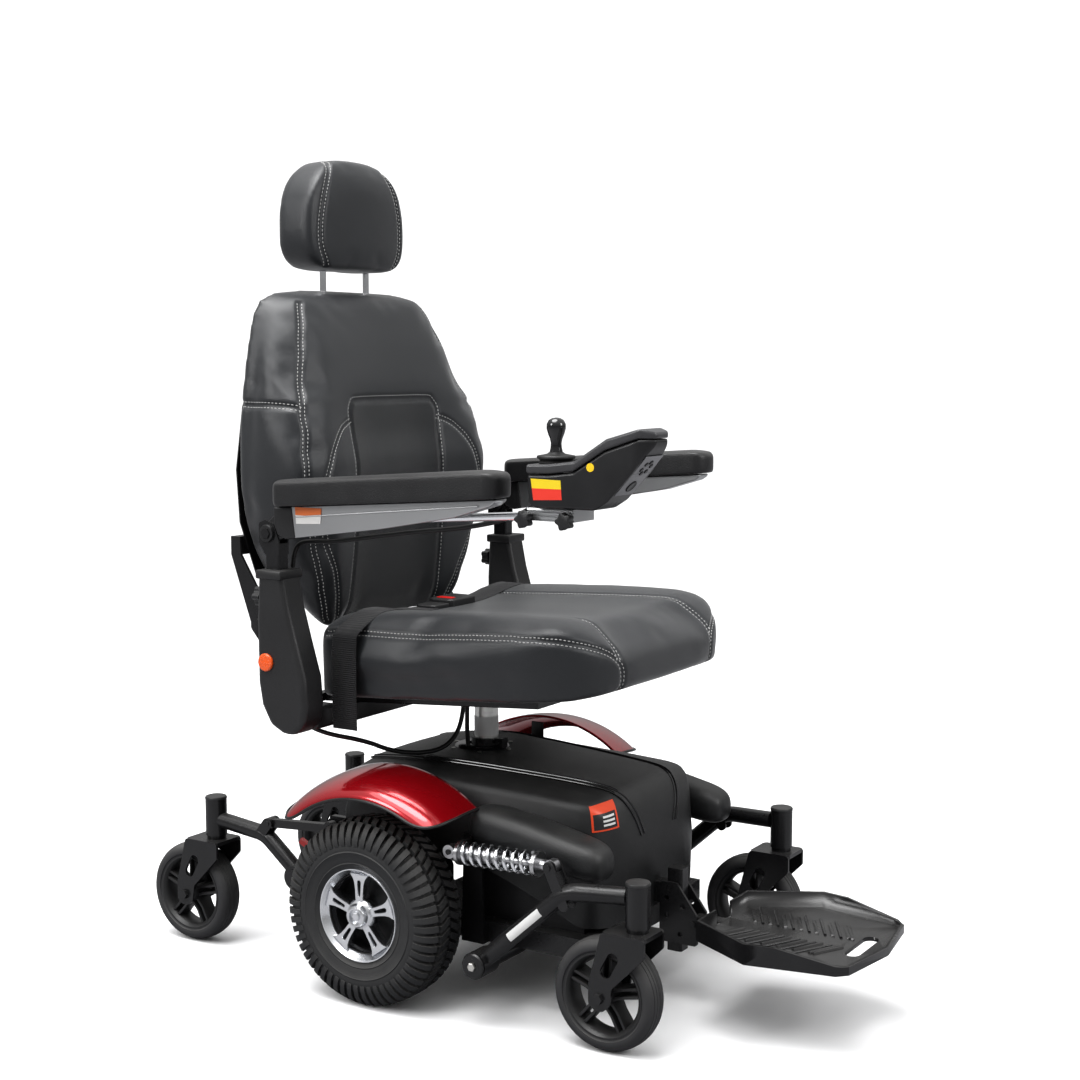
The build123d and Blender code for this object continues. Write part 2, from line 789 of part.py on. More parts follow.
def back_cushion():
    """Plain closed solid of the padded backrest: its front outline met by its side profile."""
    with BuildPart() as cushion:
        with BuildSketch(Plane.YZ.offset(-260)):
            with BuildLine():
                Polyline(*back_side, close=True)
            make_face()
        extrude(amount=520)
        with BuildSketch(Plane.XZ.offset(-300), mode=Mode.PRIVATE) as front:
            with BuildLine():
                Polyline(*(back_outline + [(-x, z) for x, z in reversed(back_outline)]), close=True)
            make_face()
        extrude(front.sketch, amount=250, mode=Mode.INTERSECT)
        # the rear half stays wide up to the shoulders
        with BuildSketch(Plane.XZ.offset(-262)):
            with BuildLine():
                Polyline(*(back_rear_outline + [(-x, z) for x, z in reversed(back_rear_outline)]),
                         close=True)
            make_face()
        extrude(amount=46)
        # channels of the headrest posts
        with BuildSketch(Plane.XY.offset(930)):
            with Locations((55, 240), (-55, 240)):
                Circle(8)
        extrude(amount=130, mode=Mode.SUBTRACT)
    return cushion.part


def back_frame():
    """Backrest frame: two side uprights, cross bars and a back shell behind the cushion."""
    with BuildPart() as frame:
        for side in (1, -1):
            with BuildSketch(Plane.YZ.offset(side * 228)):
                with BuildLine():
                    Polyline((213, 525), (240, 525), (282, 640), (282, 668), (264, 668), (263, 640),
                             (209, 556), close=True)
                make_face()
                with Locations(recline_pivot):
                    Circle(6 + running_gap, mode=Mode.SUBTRACT)
            extrude(amount=side * 5)
            with BuildSketch(Plane.XY.offset(640)):
                with Locations((side * 214, 273)):
                    Rectangle(38, 16)
            extrude(amount=28)
        with BuildSketch(Plane.XZ.offset(-265)):
            with BuildLine():
                outline = [(196, 604), (232, 690), (238, 770), (222, 864), (154, 1022), (140, 1030)]
                Polyline(*(outline + [(-x, z) for x, z in reversed(outline)]), close=True)
            make_face()
        extrude(amount=2.4)
        for side in (1, -1):
            with BuildSketch(Plane.XY.offset(1000)):
                with Locations((side * 55, 271)):
                    Rectangle(24, 12)
            extrude(amount=26)
    return frame.part


def headrest_posts():
    """Two chrome posts that slide in the backrest's guides."""
    with BuildPart() as posts:
        with BuildSketch(Plane.XY.offset(940)):
            with Locations((55, 240), (-55, 240)):
                Circle(5)
        extrude(amount=134.6)
    return posts.part


def headrest_cushion():
    """Plain closed solid of the headrest."""
    with BuildPart() as pad:
        with BuildSketch(Plane.XZ.offset(-290)):
            with BuildLine():
                half = [(84, 1075), (112, 1092), (119, 1135), (106, 1190), (84, 1232), (52, 1250)]
                Polyline(*(half + [(-x, z) for x, z in reversed(half)]), close=True)
            make_face()
        extrude(amount=96)
        with BuildSketch(Plane.YZ.offset(-130), mode=Mode.PRIVATE) as side:
            with Locations((242, 1163)):
                RectangleRounded(94, 180, 34)
        extrude(side.sketch, amount=260, mode=Mode.INTERSECT)
    return pad.part


# ---- Armrests --------------------------------------------------------------------------------

def arm_sleeve():
    """Armrest socket: tapered upright with its elbow turning in to the seat's receiver."""
    with BuildPart() as sleeve:
        with BuildSketch(Plane.YZ.offset(278)):
            with BuildLine():
                Polyline((151, 629), (154, 457), (140, 414), (108, 396), (86, 396), (66, 420),
                         (66, 470), (96, 568), (110, 629), close=True)
            make_face()
        extrude(amount=47)
        fillet(sleeve.edges().filter_by(Axis.X), 6)
        with BuildSketch(Plane.YZ.offset(238)):
            with Locations((92, 416)):
                RectangleRounded(42, 38, 10)
        extrude(amount=44)
        with BuildSketch(Plane.XY.offset(460)):
            with Locations((arm_x - 3, 134)):
                Rectangle(22.6, 26.6)
        extrude(amount=170, mode=Mode.SUBTRACT)
    return sleeve.part


def arm_knob():
    """Star-shaped hand screw on the rear of the socket, which clamps the armrest's height."""
    with BuildPart() as knob:
        with BuildSketch(Plane.XZ.offset(-158.5)):
            with Locations((arm_x - 3, 592)):
                Circle(11)
                with PolarLocations(10, 5):
                    Circle(4.5)
        extrude(amount=-13)
        with BuildSketch(Plane.XZ.offset(-152.5)):
            with Locations((arm_x - 3, 592)):
                Circle(5)
        extrude(amount=-8)
    return knob.part


def arm_post():
    """Armrest post with the hinge bracket on its head."""
    x = arm_x - 3
    with BuildPart() as post:
        with BuildSketch(Plane.XY.offset(480)):
            with Locations((x, 134)):
                RectangleRounded(22, 26, 3)
        extrude(amount=182)
        with BuildSketch(Plane.YZ.offset(x - 11)):
            with BuildLine():
                Polyline((121, 655), (147, 655), (158, 672), (158, 700), (146, 706), (130, 700),
                         (121, 676), close=True)
            make_face()
        extrude(amount=22)
        with BuildSketch(Plane.YZ.offset(x - 8)):
            with Locations((142, 690)):
                Rectangle(60, 36)
        extrude(amount=16, mode=Mode.SUBTRACT)
        with BuildSketch(Plane.YZ.offset(x - 14)):
            with Locations(arm_pivot):
                Circle(5)
        extrude(amount=28)
        for x_from in (x - 17, x + 11):
            with BuildSketch(Plane.YZ.offset(x_from)):
                with Locations(arm_pivot):
                    RegularPolygon(8, 6)
            extrude(amount=6)
    return post.part


def arm_rail(with_clamp):
    """Tapered rail under the pad; the right one also carries the joystick's rod clamp."""
    x = arm_x - 3
    with BuildPart() as rail:
        with BuildSketch(Plane.YZ.offset(x - 15)):
            with BuildLine():
                Polyline((112, pad_bottom(112) - cushion_gap), (112, 676), (96, 676), (-100, 704),
                         (-246, 738), (-256, pad_bottom(-256) - cushion_gap - 6),
                         (-256, pad_bottom(-256) - cushion_gap), close=True)
            make_face()
        extrude(amount=30)
        with BuildSketch(Plane.YZ.offset(x - 7.5)):
            with Locations(arm_pivot):
                Circle(11)
            with Locations((120, 694)):
                Rectangle(34, 22)
        extrude(amount=15)
        with BuildSketch(Plane.YZ.offset(x - 7.5)):
            with Locations(arm_pivot):
                Circle(5 + running_gap)
        extrude(amount=15, mode=Mode.SUBTRACT)
        if with_clamp:
            with BuildSketch(rod_plane.offset(62)):
                with Locations((4, 0)):
                    RectangleRounded(30, 22, 4)
            extrude(amount=24)
            with BuildSketch(rod_plane):
                Circle(6 + running_gap)
            extrude(amount=300, mode=Mode.SUBTRACT)
    return rail.part


def arm_pad():
    """Moulded armrest pad, a plain solid with a rounded nose."""
    with BuildPart() as pad:
        with BuildSketch(Plane.YZ.offset(arm_x - 29)):
            with BuildLine():
                Polyline((124, pad_bottom(124)), (124, pad_bottom(124) + 28), (114, 765),
                         (-244, 791), (-260, 784), (-267, 770), (-260, pad_bottom(-260)),
                         close=True)
            make_face()
        extrude(amount=58)
        with BuildSketch(Plane.XY.offset(700), mode=Mode.PRIVATE) as plan:
            with Locations((arm_x, -84.5)):
                RectangleRounded(58, 417, 20)
        extrude(plan.sketch, amount=120, mode=Mode.INTERSECT)
    return pad.part


# ---- Joystick module, on the right armrest ---------------------------------------------------

rod_x = 271.5                                    # drawn on the left and mirrored with the rail
rod_start, rod_end = (-70.0, 713.5), (-372.0, 734.6)
rod_plane = Plane(origin=(rod_x, *rod_start), x_dir=(1, 0, 0),
                  z_dir=(0, rod_end[0] - rod_start[0], rod_end[1] - rod_start[1]))


def joystick_mount():
    """Bright rod along the rail with the clamp block under the control box and two knobs."""
    rod_length = hypot(rod_end[0] - rod_start[0], rod_end[1] - rod_start[1])
    with BuildPart() as mount:
        with BuildSketch(rod_plane):
            Circle(6)
        extrude(amount=rod_length)
        with BuildSketch(Plane.YZ.offset(rod_x - 10)):
            with Locations((-340, 735)):
                RectangleRounded(70, 18, 3)
        extrude(amount=54)
        for y in (-308, -364):
            with BuildSketch(Plane.YZ.offset(rod_x + 44)):
                with Locations((y, 729)):
                    Circle(4)
            extrude(amount=8)
            with BuildSketch(Plane.YZ.offset(rod_x + 50)):
                with Locations((y, 726)):
                    Circle(11)
                    with PolarLocations(10, 5):
                        Circle(3.5)
            extrude(amount=11)
    return mirror(mount.part, about=Plane.YZ)


housing_half = 30.0
panel_plane = Plane(origin=(stick_centre[0], -448, 840.67), x_dir=(1, 0, 0), z_dir=(0, 14, 54))


def joystick_housing():
    """Control box: a shell with its raised panel in front of the stick."""
    cx, cy = stick_centre
    with BuildPart() as box:
        with BuildSketch(Plane.YZ.offset(cx - housing_half)):
            with BuildLine():
                Polyline((-311, 801), (-314, 748), (-322, 744.2), (-413, 744.2), (-432, 756),
                         (-466, 792), (-495, 829), (-497, 842), (-480, 850), (-430, 836),
                         (-384, 806), (-346, 802), close=True)
            make_face()
        extrude(amount=2 * housing_half)
        fillet(box.edges().filter_by(Axis.X, reverse=True), 5)
        with BuildSketch(Plane.XY.offset(730), mode=Mode.PRIVATE) as plan:
            with BuildLine():
                Polyline((cx - housing_half, -300), (cx + housing_half, -300),
                         (cx + housing_half, -472), (cx + 14, -498), (cx - 14, -498),
                         (cx - housing_half, -472), close=True)
            make_face()
        extrude(plan.sketch, amount=130, mode=Mode.INTERSECT)
        with BuildSketch(Plane.XY.offset(780)):
            with Locations((cx, cy)):
                Circle(20)
        extrude(amount=40, mode=Mode.SUBTRACT)
        with BuildSketch(panel_plane.offset(2)):
            with Locations((-14, -12), (14, -12)):
                Circle(6.3)
            with Locations((0, 8)):
                Rectangle(22.6, 12.6)
        extrude(amount=-9, mode=Mode.SUBTRACT)
    return box.part


def panel_button(offset, label):
    """Round push button in the raised panel."""
    with BuildPart() as button:
        with BuildSketch(panel_plane.offset(-4)):
            with Locations((offset, -12)):
                Circle(6)
        extrude(amount=6)
    save(button.part, label)


def speed_rocker():
    """Rocker that steps the speed up and down."""
    with BuildPart() as rocker:
        with BuildSketch(panel_plane.offset(-3.5)):
            with Locations((0, 8)):
                Rectangle(21.6, 11)
        extrude(amount=5.5)
    return rocker.part


def joystick_gimbal():
    """Gimbal ball under the boot, the first of the stick's two axes."""
    cx, cy = stick_centre
    with BuildPart() as gimbal:
        with BuildSketch(Plane.XY.offset(784)):
            with Locations((cx, cy)):
                Circle(9)
                Rectangle(11, 8.4, mode=Mode.SUBTRACT)
        extrude(amount=6)
    return gimbal.part


def joystick_stick():
    """Stick with its pear-shaped knob and the rubber boot's disc."""
    cx, cy = stick_centre
    with BuildPart() as stick:
        with BuildSketch(Plane.XZ.offset(-cy)):
            with BuildLine():
                Polyline((cx, 784), (cx + 4, 784), (cx + 4, 806), (cx + 13, 806), (cx + 12, 812),
                         (cx + 6, 820), (cx + 6, 828), (cx + 12, 838), (cx + 12.5, 846),
                         (cx + 10, 856), (cx + 5, 861), (cx, 861), close=True)
            make_face()
        revolve(axis=Axis((cx, cy, 0), (0, 0, 1)))
    return stick.part


# ---- Control cable ---------------------------------------------------------------------------

cable_diameter = 7.0
joystick_route = [(-272, -311.2, 762), (-267, -301, 757), (-259, -284, 742), (-255, -252, 726),
                  (-254, -206, 713), (-254, -150, 703), (-255, -94, 697), (-259, -38, 689),
                  (-262, 14, 681), (-263, 60, 674), (-264, 94, 673), (-265, 116, 671),
                  (-265.5, 128, 662), (-266, 131, 648)]
arm_route = [(-266.01, 131.1, 647.6), (-266, 135, 628), (-264, 133, 596), (-263, 128, 560),
             (-262, 129, 520), (-261, 135, 480), (-262, 138, 442), (-263, 130, 408),
             (-250, 99, 387), (-222, 78, 378)]
base_route = [(-221.6, 77.7, 377.9), (-194, 57, 369), (-160, 38, 350), (-124, 14, 341.5),
              (-92, -8, 344), (-68, -18, 360), (-54, -22, 388), (-50, -22, 416)]
flange_route = [(-38, -20, 416), (-36, -18, 386), (-33, -16, 354), (-30, -18, 324)]


def cable(route, label):
    """Round tube along straight runs joined by tangent arcs."""
    radii = []
    for before, at, after in zip(route, route[1:], route[2:]):
        turn = (Vector(at) - Vector(before)).get_angle(Vector(after) - Vector(at))
        shorter = min((Vector(at) - Vector(before)).length, (Vector(after) - Vector(at)).length)
        radii.append(0.45 * shorter / max(1e-6, abs(sin(radians(turn / 2)) / cos(radians(turn / 2)))))
    with BuildPart() as tube:
        with BuildLine() as path:
            FilletPolyline(*route, radius=radii)
        with BuildSketch(Plane(origin=path.line @ 0, z_dir=path.line % 0)):
            Circle(cable_diameter / 2)
        sweep()
    length = path.wires()[0].length
    section = 3.14159265 * (cable_diameter / 2) ** 2
    print(f"{label}: length {length:.0f} mm, smallest radius {min(radii):.0f} mm, "
          f"volume ratio {tube.part.volume / (section * length):.3f}")
    return tube.part


# ---- Write every sub-part --------------------------------------------------------------------

os.makedirs("parts", exist_ok=True)

save_pair(drive_tyre(), "drive_tyre")
save_pair(drive_rim(), "drive_rim")
save_both(motor(), "motors")
save_pair(freewheel_lever(), "freewheel_lever")
save(chassis(), "chassis_frame")
save(batteries(), "batteries")
save(shroud(), "base_shroud")
save_both(fender(), "fenders")

save_pair(front_arm(), "front_arm")
save_pair(rear_arm(), "rear_arm")
save_both(rear_strut(), "rear_struts")
save_pair(shock_body(), "shock_body")
save_pair(shock_rod(), "shock_rod")
save_pair(shock_spring(), "shock_spring")
for end, place in (("front", front_barrel), ("rear", rear_barrel)):
    save_pair(caster_fork(place), f"caster_fork_{end}")
    save_pair(caster_wheel(place), f"caster_wheel_{end}")

save(Compound(children=[seat_post(), post_collar()]), "seat_post")
save(seat_pan(), "seat_pan")
save(footrest_post(), "footrest_post")
save(footplate(), "footplate")

save(seat_cushion(), "seat_cushion")
save(seat_belt(), "seat_belt")
save(back_cushion(), "back_cushion")
save(back_frame(), "back_frame")
save(headrest_posts(), "headrest_posts")
save(headrest_cushion(), "headrest_cushion")

save_pair(arm_sleeve(), "arm_sleeve")
save_pair(arm_knob(), "arm_knob")
save_pair(arm_post(), "arm_post")
save(arm_rail(with_clamp=False), "arm_rail_left")
save(mirror(arm_rail(with_clamp=True), about=Plane.YZ), "arm_rail_right")
save_pair(arm_pad(), "arm_pad")

save(joystick_mount(), "joystick_mount")
save(joystick_housing(), "joystick_housing")
panel_button(-14, "power_button")
panel_button(14, "horn_button")
save(speed_rocker(), "speed_rocker")
save(joystick_gimbal(), "joystick_gimbal")
save(joystick_stick(), "joystick_stick")

save(cable(joystick_route, "joystick_cable"), "joystick_cable")
save(cable(arm_route, "arm_cable"), "arm_cable")
base_cables = [cable(base_route, "base_cable, loop"), cable(flange_route, "base_cable, drop")]
save(Compound(children=base_cables), "base_cable")
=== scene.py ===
import math

import bmesh
import bpy
from mathutils import Matrix, Vector
from mathutils.bvhtree import BVHTree
from mathutils.kdtree import KDTree


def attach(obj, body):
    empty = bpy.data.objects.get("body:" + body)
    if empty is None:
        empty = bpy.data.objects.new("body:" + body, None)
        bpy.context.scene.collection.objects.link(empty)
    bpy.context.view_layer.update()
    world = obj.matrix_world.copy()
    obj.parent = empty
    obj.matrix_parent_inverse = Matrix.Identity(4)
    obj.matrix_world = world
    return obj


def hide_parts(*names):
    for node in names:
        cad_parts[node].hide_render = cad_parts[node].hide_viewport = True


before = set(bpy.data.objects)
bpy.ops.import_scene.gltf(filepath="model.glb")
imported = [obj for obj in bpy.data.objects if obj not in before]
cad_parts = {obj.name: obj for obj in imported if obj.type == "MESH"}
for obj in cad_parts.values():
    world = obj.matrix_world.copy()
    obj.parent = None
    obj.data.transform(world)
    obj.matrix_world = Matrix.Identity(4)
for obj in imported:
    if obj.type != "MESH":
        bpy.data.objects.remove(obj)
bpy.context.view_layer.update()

# ---- Studio ----------------------------------------------------------------------------------
# A wide floor under an even white sky, three large soft lights, and the camera at the
# occupant's right, a little above the armrests. The floor is pale to the camera but grey to the
# light it bounces and in reflections: painted shade.

def solid(name, points, faces):
    """Mesh from points in millimetres, merged, with its faces turned outwards."""
    shell = bmesh.new()
    corners = [shell.verts.new(Vector(p) / 1000) for p in points]
    for face in faces:
        shell.faces.new([corners[i] for i in face])
    bmesh.ops.remove_doubles(shell, verts=shell.verts, dist=2e-6)
    bmesh.ops.dissolve_degenerate(shell, dist=1e-6, edges=shell.edges)
    bmesh.ops.recalc_face_normals(shell, faces=shell.faces)
    mesh = bpy.data.meshes.new(name)
    shell.to_mesh(mesh)
    shell.free()
    return mesh


floor_mesh = solid("studio_floor", [(-4e4, -4e4, -0.5), (4e4, -4e4, -0.5), (4e4, 4e4, -0.5),
                                    (-4e4, 4e4, -0.5)], [(0, 1, 2, 3)])
floor_paper = bpy.data.materials.new("floor_paper")
floor_paper.use_nodes = True
paper_shader = floor_paper.node_tree.nodes["Principled BSDF"]
# painted shade: the paper is white to the camera but 30% grey to all other rays, so the light it bounces onto the
# chair and its reflections in the chair are painted darker
paper_seen = floor_paper.node_tree.nodes.new("ShaderNodeLightPath")
paper_tone = floor_paper.node_tree.nodes.new("ShaderNodeMix")
paper_tone.data_type = "RGBA"
paper_tone.inputs["A"].default_value = (0.30, 0.30, 0.31, 1)
paper_tone.inputs["B"].default_value = (0.93, 0.93, 0.935, 1)
floor_paper.node_tree.links.new(paper_seen.outputs["Is Camera Ray"], paper_tone.inputs["Factor"])
floor_paper.node_tree.links.new(paper_tone.outputs["Result"], paper_shader.inputs["Base Color"])
paper_shader.inputs["Roughness"].default_value = 0.55
paper_shader.inputs["Specular IOR Level"].default_value = 0.25
studio_floor = bpy.data.objects.new("studio_floor", floor_mesh)
studio_floor.data.materials.append(floor_paper)
bpy.context.scene.collection.objects.link(studio_floor)

# the sky is white to the eye, and lights the chair more from above than from the sides
sky = bpy.data.worlds.new("white_sky")
sky.use_nodes = True
sky_nodes, sky_links = sky.node_tree.nodes, sky.node_tree.links
sky_place = sky_nodes.new("ShaderNodeTexCoord")
sky_axes = sky_nodes.new("ShaderNodeSeparateXYZ")
sky_links.new(sky_place.outputs["Generated"], sky_axes.inputs[0])
sky_ramp = sky_nodes.new("ShaderNodeMapRange")
sky_ramp.inputs["From Min"].default_value, sky_ramp.inputs["From Max"].default_value = -0.1, 0.9
sky_ramp.inputs["To Min"].default_value, sky_ramp.inputs["To Max"].default_value = 0.12, 0.95
sky_links.new(sky_axes.outputs["Z"], sky_ramp.inputs["Value"])
seen = sky_nodes.new("ShaderNodeLightPath")
sky_power = sky_nodes.new("ShaderNodeMix")
sky_links.new(seen.outputs["Is Camera Ray"], sky_power.inputs["Factor"])
sky_links.new(sky_ramp.outputs[0], sky_power.inputs["A"])
sky_power.inputs["B"].default_value = 1.05
sky_nodes["Background"].inputs["Color"].default_value = (1, 1, 1, 1)
sky_links.new(sky_power.outputs[0], sky_nodes["Background"].inputs["Strength"])
bpy.context.scene.world = sky
bpy.context.scene.view_settings.view_transform = "Standard"
bpy.context.scene.view_settings.look = "Medium High Contrast"

for lamp, place, size, power in (("overhead_softbox", (-0.7, 0.2, 3.4), 2.2, 75),
                                 ("side_softbox", (-3.0, 1.4, 2.2), 1.2, 34),
                                 ("front_softbox", (0.2, -3.4, 2.2), 1.4, 34)):
    data = bpy.data.lights.new(lamp, "AREA")
    data.shape, data.size, data.energy = "DISK", size, power
    softbox = bpy.data.objects.new(lamp, data)
    softbox.location = place
    softbox.rotation_euler = (Vector((0, 0, 0.6)) - Vector(place)).to_track_quat("-Z", "Y").to_euler()
    bpy.context.scene.collection.objects.link(softbox)
wide_light = bpy.data.lights.new("wide_overhead", "SUN")
wide_light.energy, wide_light.angle = 1.3, math.radians(50)
wide_overhead = bpy.data.objects.new("wide_overhead", wide_light)
wide_overhead.rotation_euler = Vector((0.35, -0.1, -1)).to_track_quat("-Z", "Y").to_euler()
bpy.context.scene.collection.objects.link(wide_overhead)

camera_data = bpy.data.cameras.new("camera")
camera_data.lens, camera_data.sensor_width = 58.62, 36
camera = bpy.data.objects.new("camera", camera_data)
camera.location = (-2.2495, -1.5285, 0.9376)
camera.rotation_euler = Vector((0.8445, 0.5256, -0.1028)).to_track_quat("-Z", "Y").to_euler()
bpy.context.scene.collection.objects.link(camera)
bpy.context.scene.camera = camera


# ---- Drive tyres -----------------------------------------------------------------------------
# Two foam-filled rubber tyres with a block tread: shoulder lugs that wrap down the sidewall,
# and two staggered rows of slanted blocks round the middle. Pressed onto the rims.

def socket_group(name, inputs, outputs):
    """Empty shader node group with its named inputs and outputs."""
    group = bpy.data.node_groups.new(name, "ShaderNodeTree")
    for label, value in inputs:
        socket = group.interface.new_socket(label, in_out="INPUT", socket_type="NodeSocketFloat")
        socket.default_value = value
    for label in outputs:
        group.interface.new_socket(label, in_out="OUTPUT", socket_type="NodeSocketFloat")
    return group, group.nodes.new("NodeGroupInput"), group.nodes.new("NodeGroupOutput")


def arithmetic(nodes, links, operation, first, second):
    node = nodes.new("ShaderNodeMath")
    node.operation = operation
    for index, value in enumerate((first, second)):
        if isinstance(value, (int, float)):
            node.inputs[index].default_value = value
        else:
            links.new(value, node.inputs[index])
    return node.outputs[0]


# fine grain of mouldings and cast metal, with a broader cloud that varies colour and gloss
grain_group, grain_in, grain_out = socket_group(
    "surface_grain", (("Size", 0.001), ("Cloud", 0.06)), ("Height", "Cloudiness"))
place_node = grain_group.nodes.new("ShaderNodeTexCoord")
for size_name, out_name, detail in (("Size", "Height", 3.0), ("Cloud", "Cloudiness", 4.0)):
    texture = grain_group.nodes.new("ShaderNodeTexNoise")
    texture.inputs["Detail"].default_value = detail
    grain_group.links.new(place_node.outputs["Object"], texture.inputs["Vector"])
    grain_group.links.new(arithmetic(grain_group.nodes, grain_group.links, "DIVIDE", 1.0,
                                     grain_in.outputs[size_name]), texture.inputs["Scale"])
    grain_group.links.new(texture.outputs["Fac"], grain_out.inputs[out_name])

# dust that settles on faces turned upwards and in the low parts of the chair
dust_group, dust_in, dust_out = socket_group("settled_dust", (("Amount", 0.2),), ("Dust",))
normal_node = dust_group.nodes.new("ShaderNodeNewGeometry")
axes_node = dust_group.nodes.new("ShaderNodeSeparateXYZ")
dust_group.links.new(normal_node.outputs["Normal"], axes_node.inputs[0])
dust_place = dust_group.nodes.new("ShaderNodeTexCoord")
dust_noise = dust_group.nodes.new("ShaderNodeTexNoise")
dust_noise.inputs["Scale"].default_value = 24.0
dust_noise.inputs["Detail"].default_value = 6.0
dust_group.links.new(dust_place.outputs["Object"], dust_noise.inputs["Vector"])
upward = dust_group.nodes.new("ShaderNodeMapRange")
upward.inputs["From Min"].default_value = -0.2
dust_group.links.new(axes_node.outputs["Z"], upward.inputs["Value"])
speckled = arithmetic(dust_group.nodes, dust_group.links, "MULTIPLY", upward.outputs[0],
                      dust_noise.outputs["Fac"])
dust_group.links.new(arithmetic(dust_group.nodes, dust_group.links, "MULTIPLY", speckled,
                                dust_in.outputs["Amount"]), dust_out.inputs["Dust"])


def use_group(nodes, group, **values):
    node = nodes.new("ShaderNodeGroup")
    node.node_tree = group
    for label, value in values.items():
        node.inputs[label].default_value = value
    return node


def finish(name, colour, roughness, metallic=0.0, grain=0.0012, depth=0.12, cloud=0.05,
           variation=0.25, dust=0.0, coat=0.0, sheen=0.0, specular=0.5, height=None):
    """Material with grain, a cloudy variation of colour and gloss, and dust on upward faces."""
    material = bpy.data.materials.new(name)
    material.use_nodes = True
    nodes, links = material.node_tree.nodes, material.node_tree.links
    shader = nodes["Principled BSDF"]
    shader.inputs["Metallic"].default_value = metallic
    shader.inputs["Coat Weight"].default_value = coat
    shader.inputs["Coat Roughness"].default_value = 0.06
    shader.inputs["Sheen Weight"].default_value = sheen
    shader.inputs["Sheen Roughness"].default_value = 0.4
    shader.inputs["Specular IOR Level"].default_value = specular
    surface = use_group(nodes, grain_group, Size=grain, Cloud=cloud)
    shade = nodes.new("ShaderNodeMix")
    shade.data_type = "RGBA"
    shade.inputs["A"].default_value = tuple(c * (1 - variation) for c in colour) + (1,)
    shade.inputs["B"].default_value = tuple(min(1, c * (1 + variation)) for c in colour) + (1,)
    links.new(surface.outputs["Cloudiness"], shade.inputs["Factor"])
    gloss = nodes.new("ShaderNodeMapRange")
    gloss.inputs["To Min"].default_value = max(0.02, roughness - 0.08)
    gloss.inputs["To Max"].default_value = min(1.0, roughness + 0.08)
    links.new(surface.outputs["Cloudiness"], gloss.inputs["Value"])
    colour_out, gloss_out = shade.outputs["Result"], gloss.outputs[0]
    if dust:
        film = use_group(nodes, dust_group, Amount=dust)
        dusty = nodes.new("ShaderNodeMix")
        dusty.data_type = "RGBA"
        dusty.inputs["B"].default_value = (0.3, 0.29, 0.27, 1)
        links.new(film.outputs["Dust"], dusty.inputs["Factor"])
        links.new(colour_out, dusty.inputs["A"])
        colour_out = dusty.outputs["Result"]
        gloss_out = arithmetic(nodes, links, "ADD", gloss_out, film.outputs["Dust"])
    links.new(colour_out, shader.inputs["Base Color"])
    links.new(gloss_out, shader.inputs["Roughness"])
    bump = nodes.new("ShaderNodeBump")
    bump.inputs["Strength"].default_value = depth
    bump.inputs["Distance"].default_value = grain
    links.new(height(nodes, links) if height else surface.outputs["Height"], bump.inputs["Height"])
    links.new(bump.outputs["Normal"], shader.inputs["Normal"])
    return material


def lofted(name, rings, ring_closed=True, loft_closed=False, capped=True):
    """Skin over rings of points, each with the same count, in millimetres."""
    points = [p for ring in rings for p in ring]
    count, faces = len(rings[0]), []
    for i in range(len(rings) if loft_closed else len(rings) - 1):
        j = (i + 1) % len(rings)
        for k in range(count if ring_closed else count - 1):
            n = (k + 1) % count
            faces.append((i * count + k, i * count + n, j * count + n, j * count + k))
    if capped and ring_closed and not loft_closed:
        faces.append(tuple(range(count)))
        faces.append(tuple((len(rings) - 1) * count + k for k in range(count)))
    return solid(name, points, faces)


def turned(name, profile, centre, axis="x", steps=96, closed=True, arc=None):
    """Profile of (along the axis, radius) turned round an axis through centre, in millimetres."""
    start, end = arc or (0.0, 360.0)
    rings = []
    for i in range(steps + (1 if arc else 0)):
        angle = math.radians(start + (end - start) * i / steps)
        c, s = math.cos(angle), math.sin(angle)
        rings.append([{"x": (a, centre[1] + r * c, centre[2] + r * s),
                       "y": (centre[0] + r * c, a, centre[2] + r * s),
                       "z": (centre[0] + r * c, centre[1] + r * s, a)}[axis] for a, r in profile])
    return lofted(name, rings, ring_closed=closed, loft_closed=not arc, capped=bool(arc))


def joined(name, *meshes):
    """One mesh from several that share a finish."""
    both = bmesh.new()
    for mesh in meshes:
        both.from_mesh(mesh)
    result = bpy.data.meshes.new(name)
    both.to_mesh(result)
    both.free()
    return result


def mirrored(mesh):
    """The same part for the other side of the chair."""
    other = mesh.copy()
    other.transform(Matrix.Scale(-1, 4, (1, 0, 0)))
    other.flip_normals()
    return other


def new_piece(name, mesh, material, body, stands_for=(), slot=None, crease=38, eased=False):
    """Links a finished mesh, gives it its material and its body, and hides what it stands for."""
    mesh.name = name
    if material is not None:
        mesh.materials.clear()
        mesh.materials.append(material)
    mesh.shade_smooth()
    mesh.set_sharp_from_angle(angle=math.radians(crease))
    piece = bpy.data.objects.new(name, mesh)
    bpy.context.scene.collection.objects.link(piece)
    if eased:
        even = piece.modifiers.new("even_shading", "WEIGHTED_NORMAL")
        even.keep_sharp = True
    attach(piece, body)
    if stands_for:
        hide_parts(*([stands_for] if isinstance(stands_for, str) else stands_for))
    return piece


def pair(name, mesh, material, body, stands_for=None, **options):
    """The left piece as drawn and its mirror image on the right; {} takes the side's name."""
    pieces = []
    for side, shape in (("left", mesh), ("right", mirrored(mesh))):
        nodes = stands_for.format(side) if stands_for else ()
        pieces.append(new_piece(f"{name}_{side}", shape, material, body.format(side), nodes, **options))
    return pieces


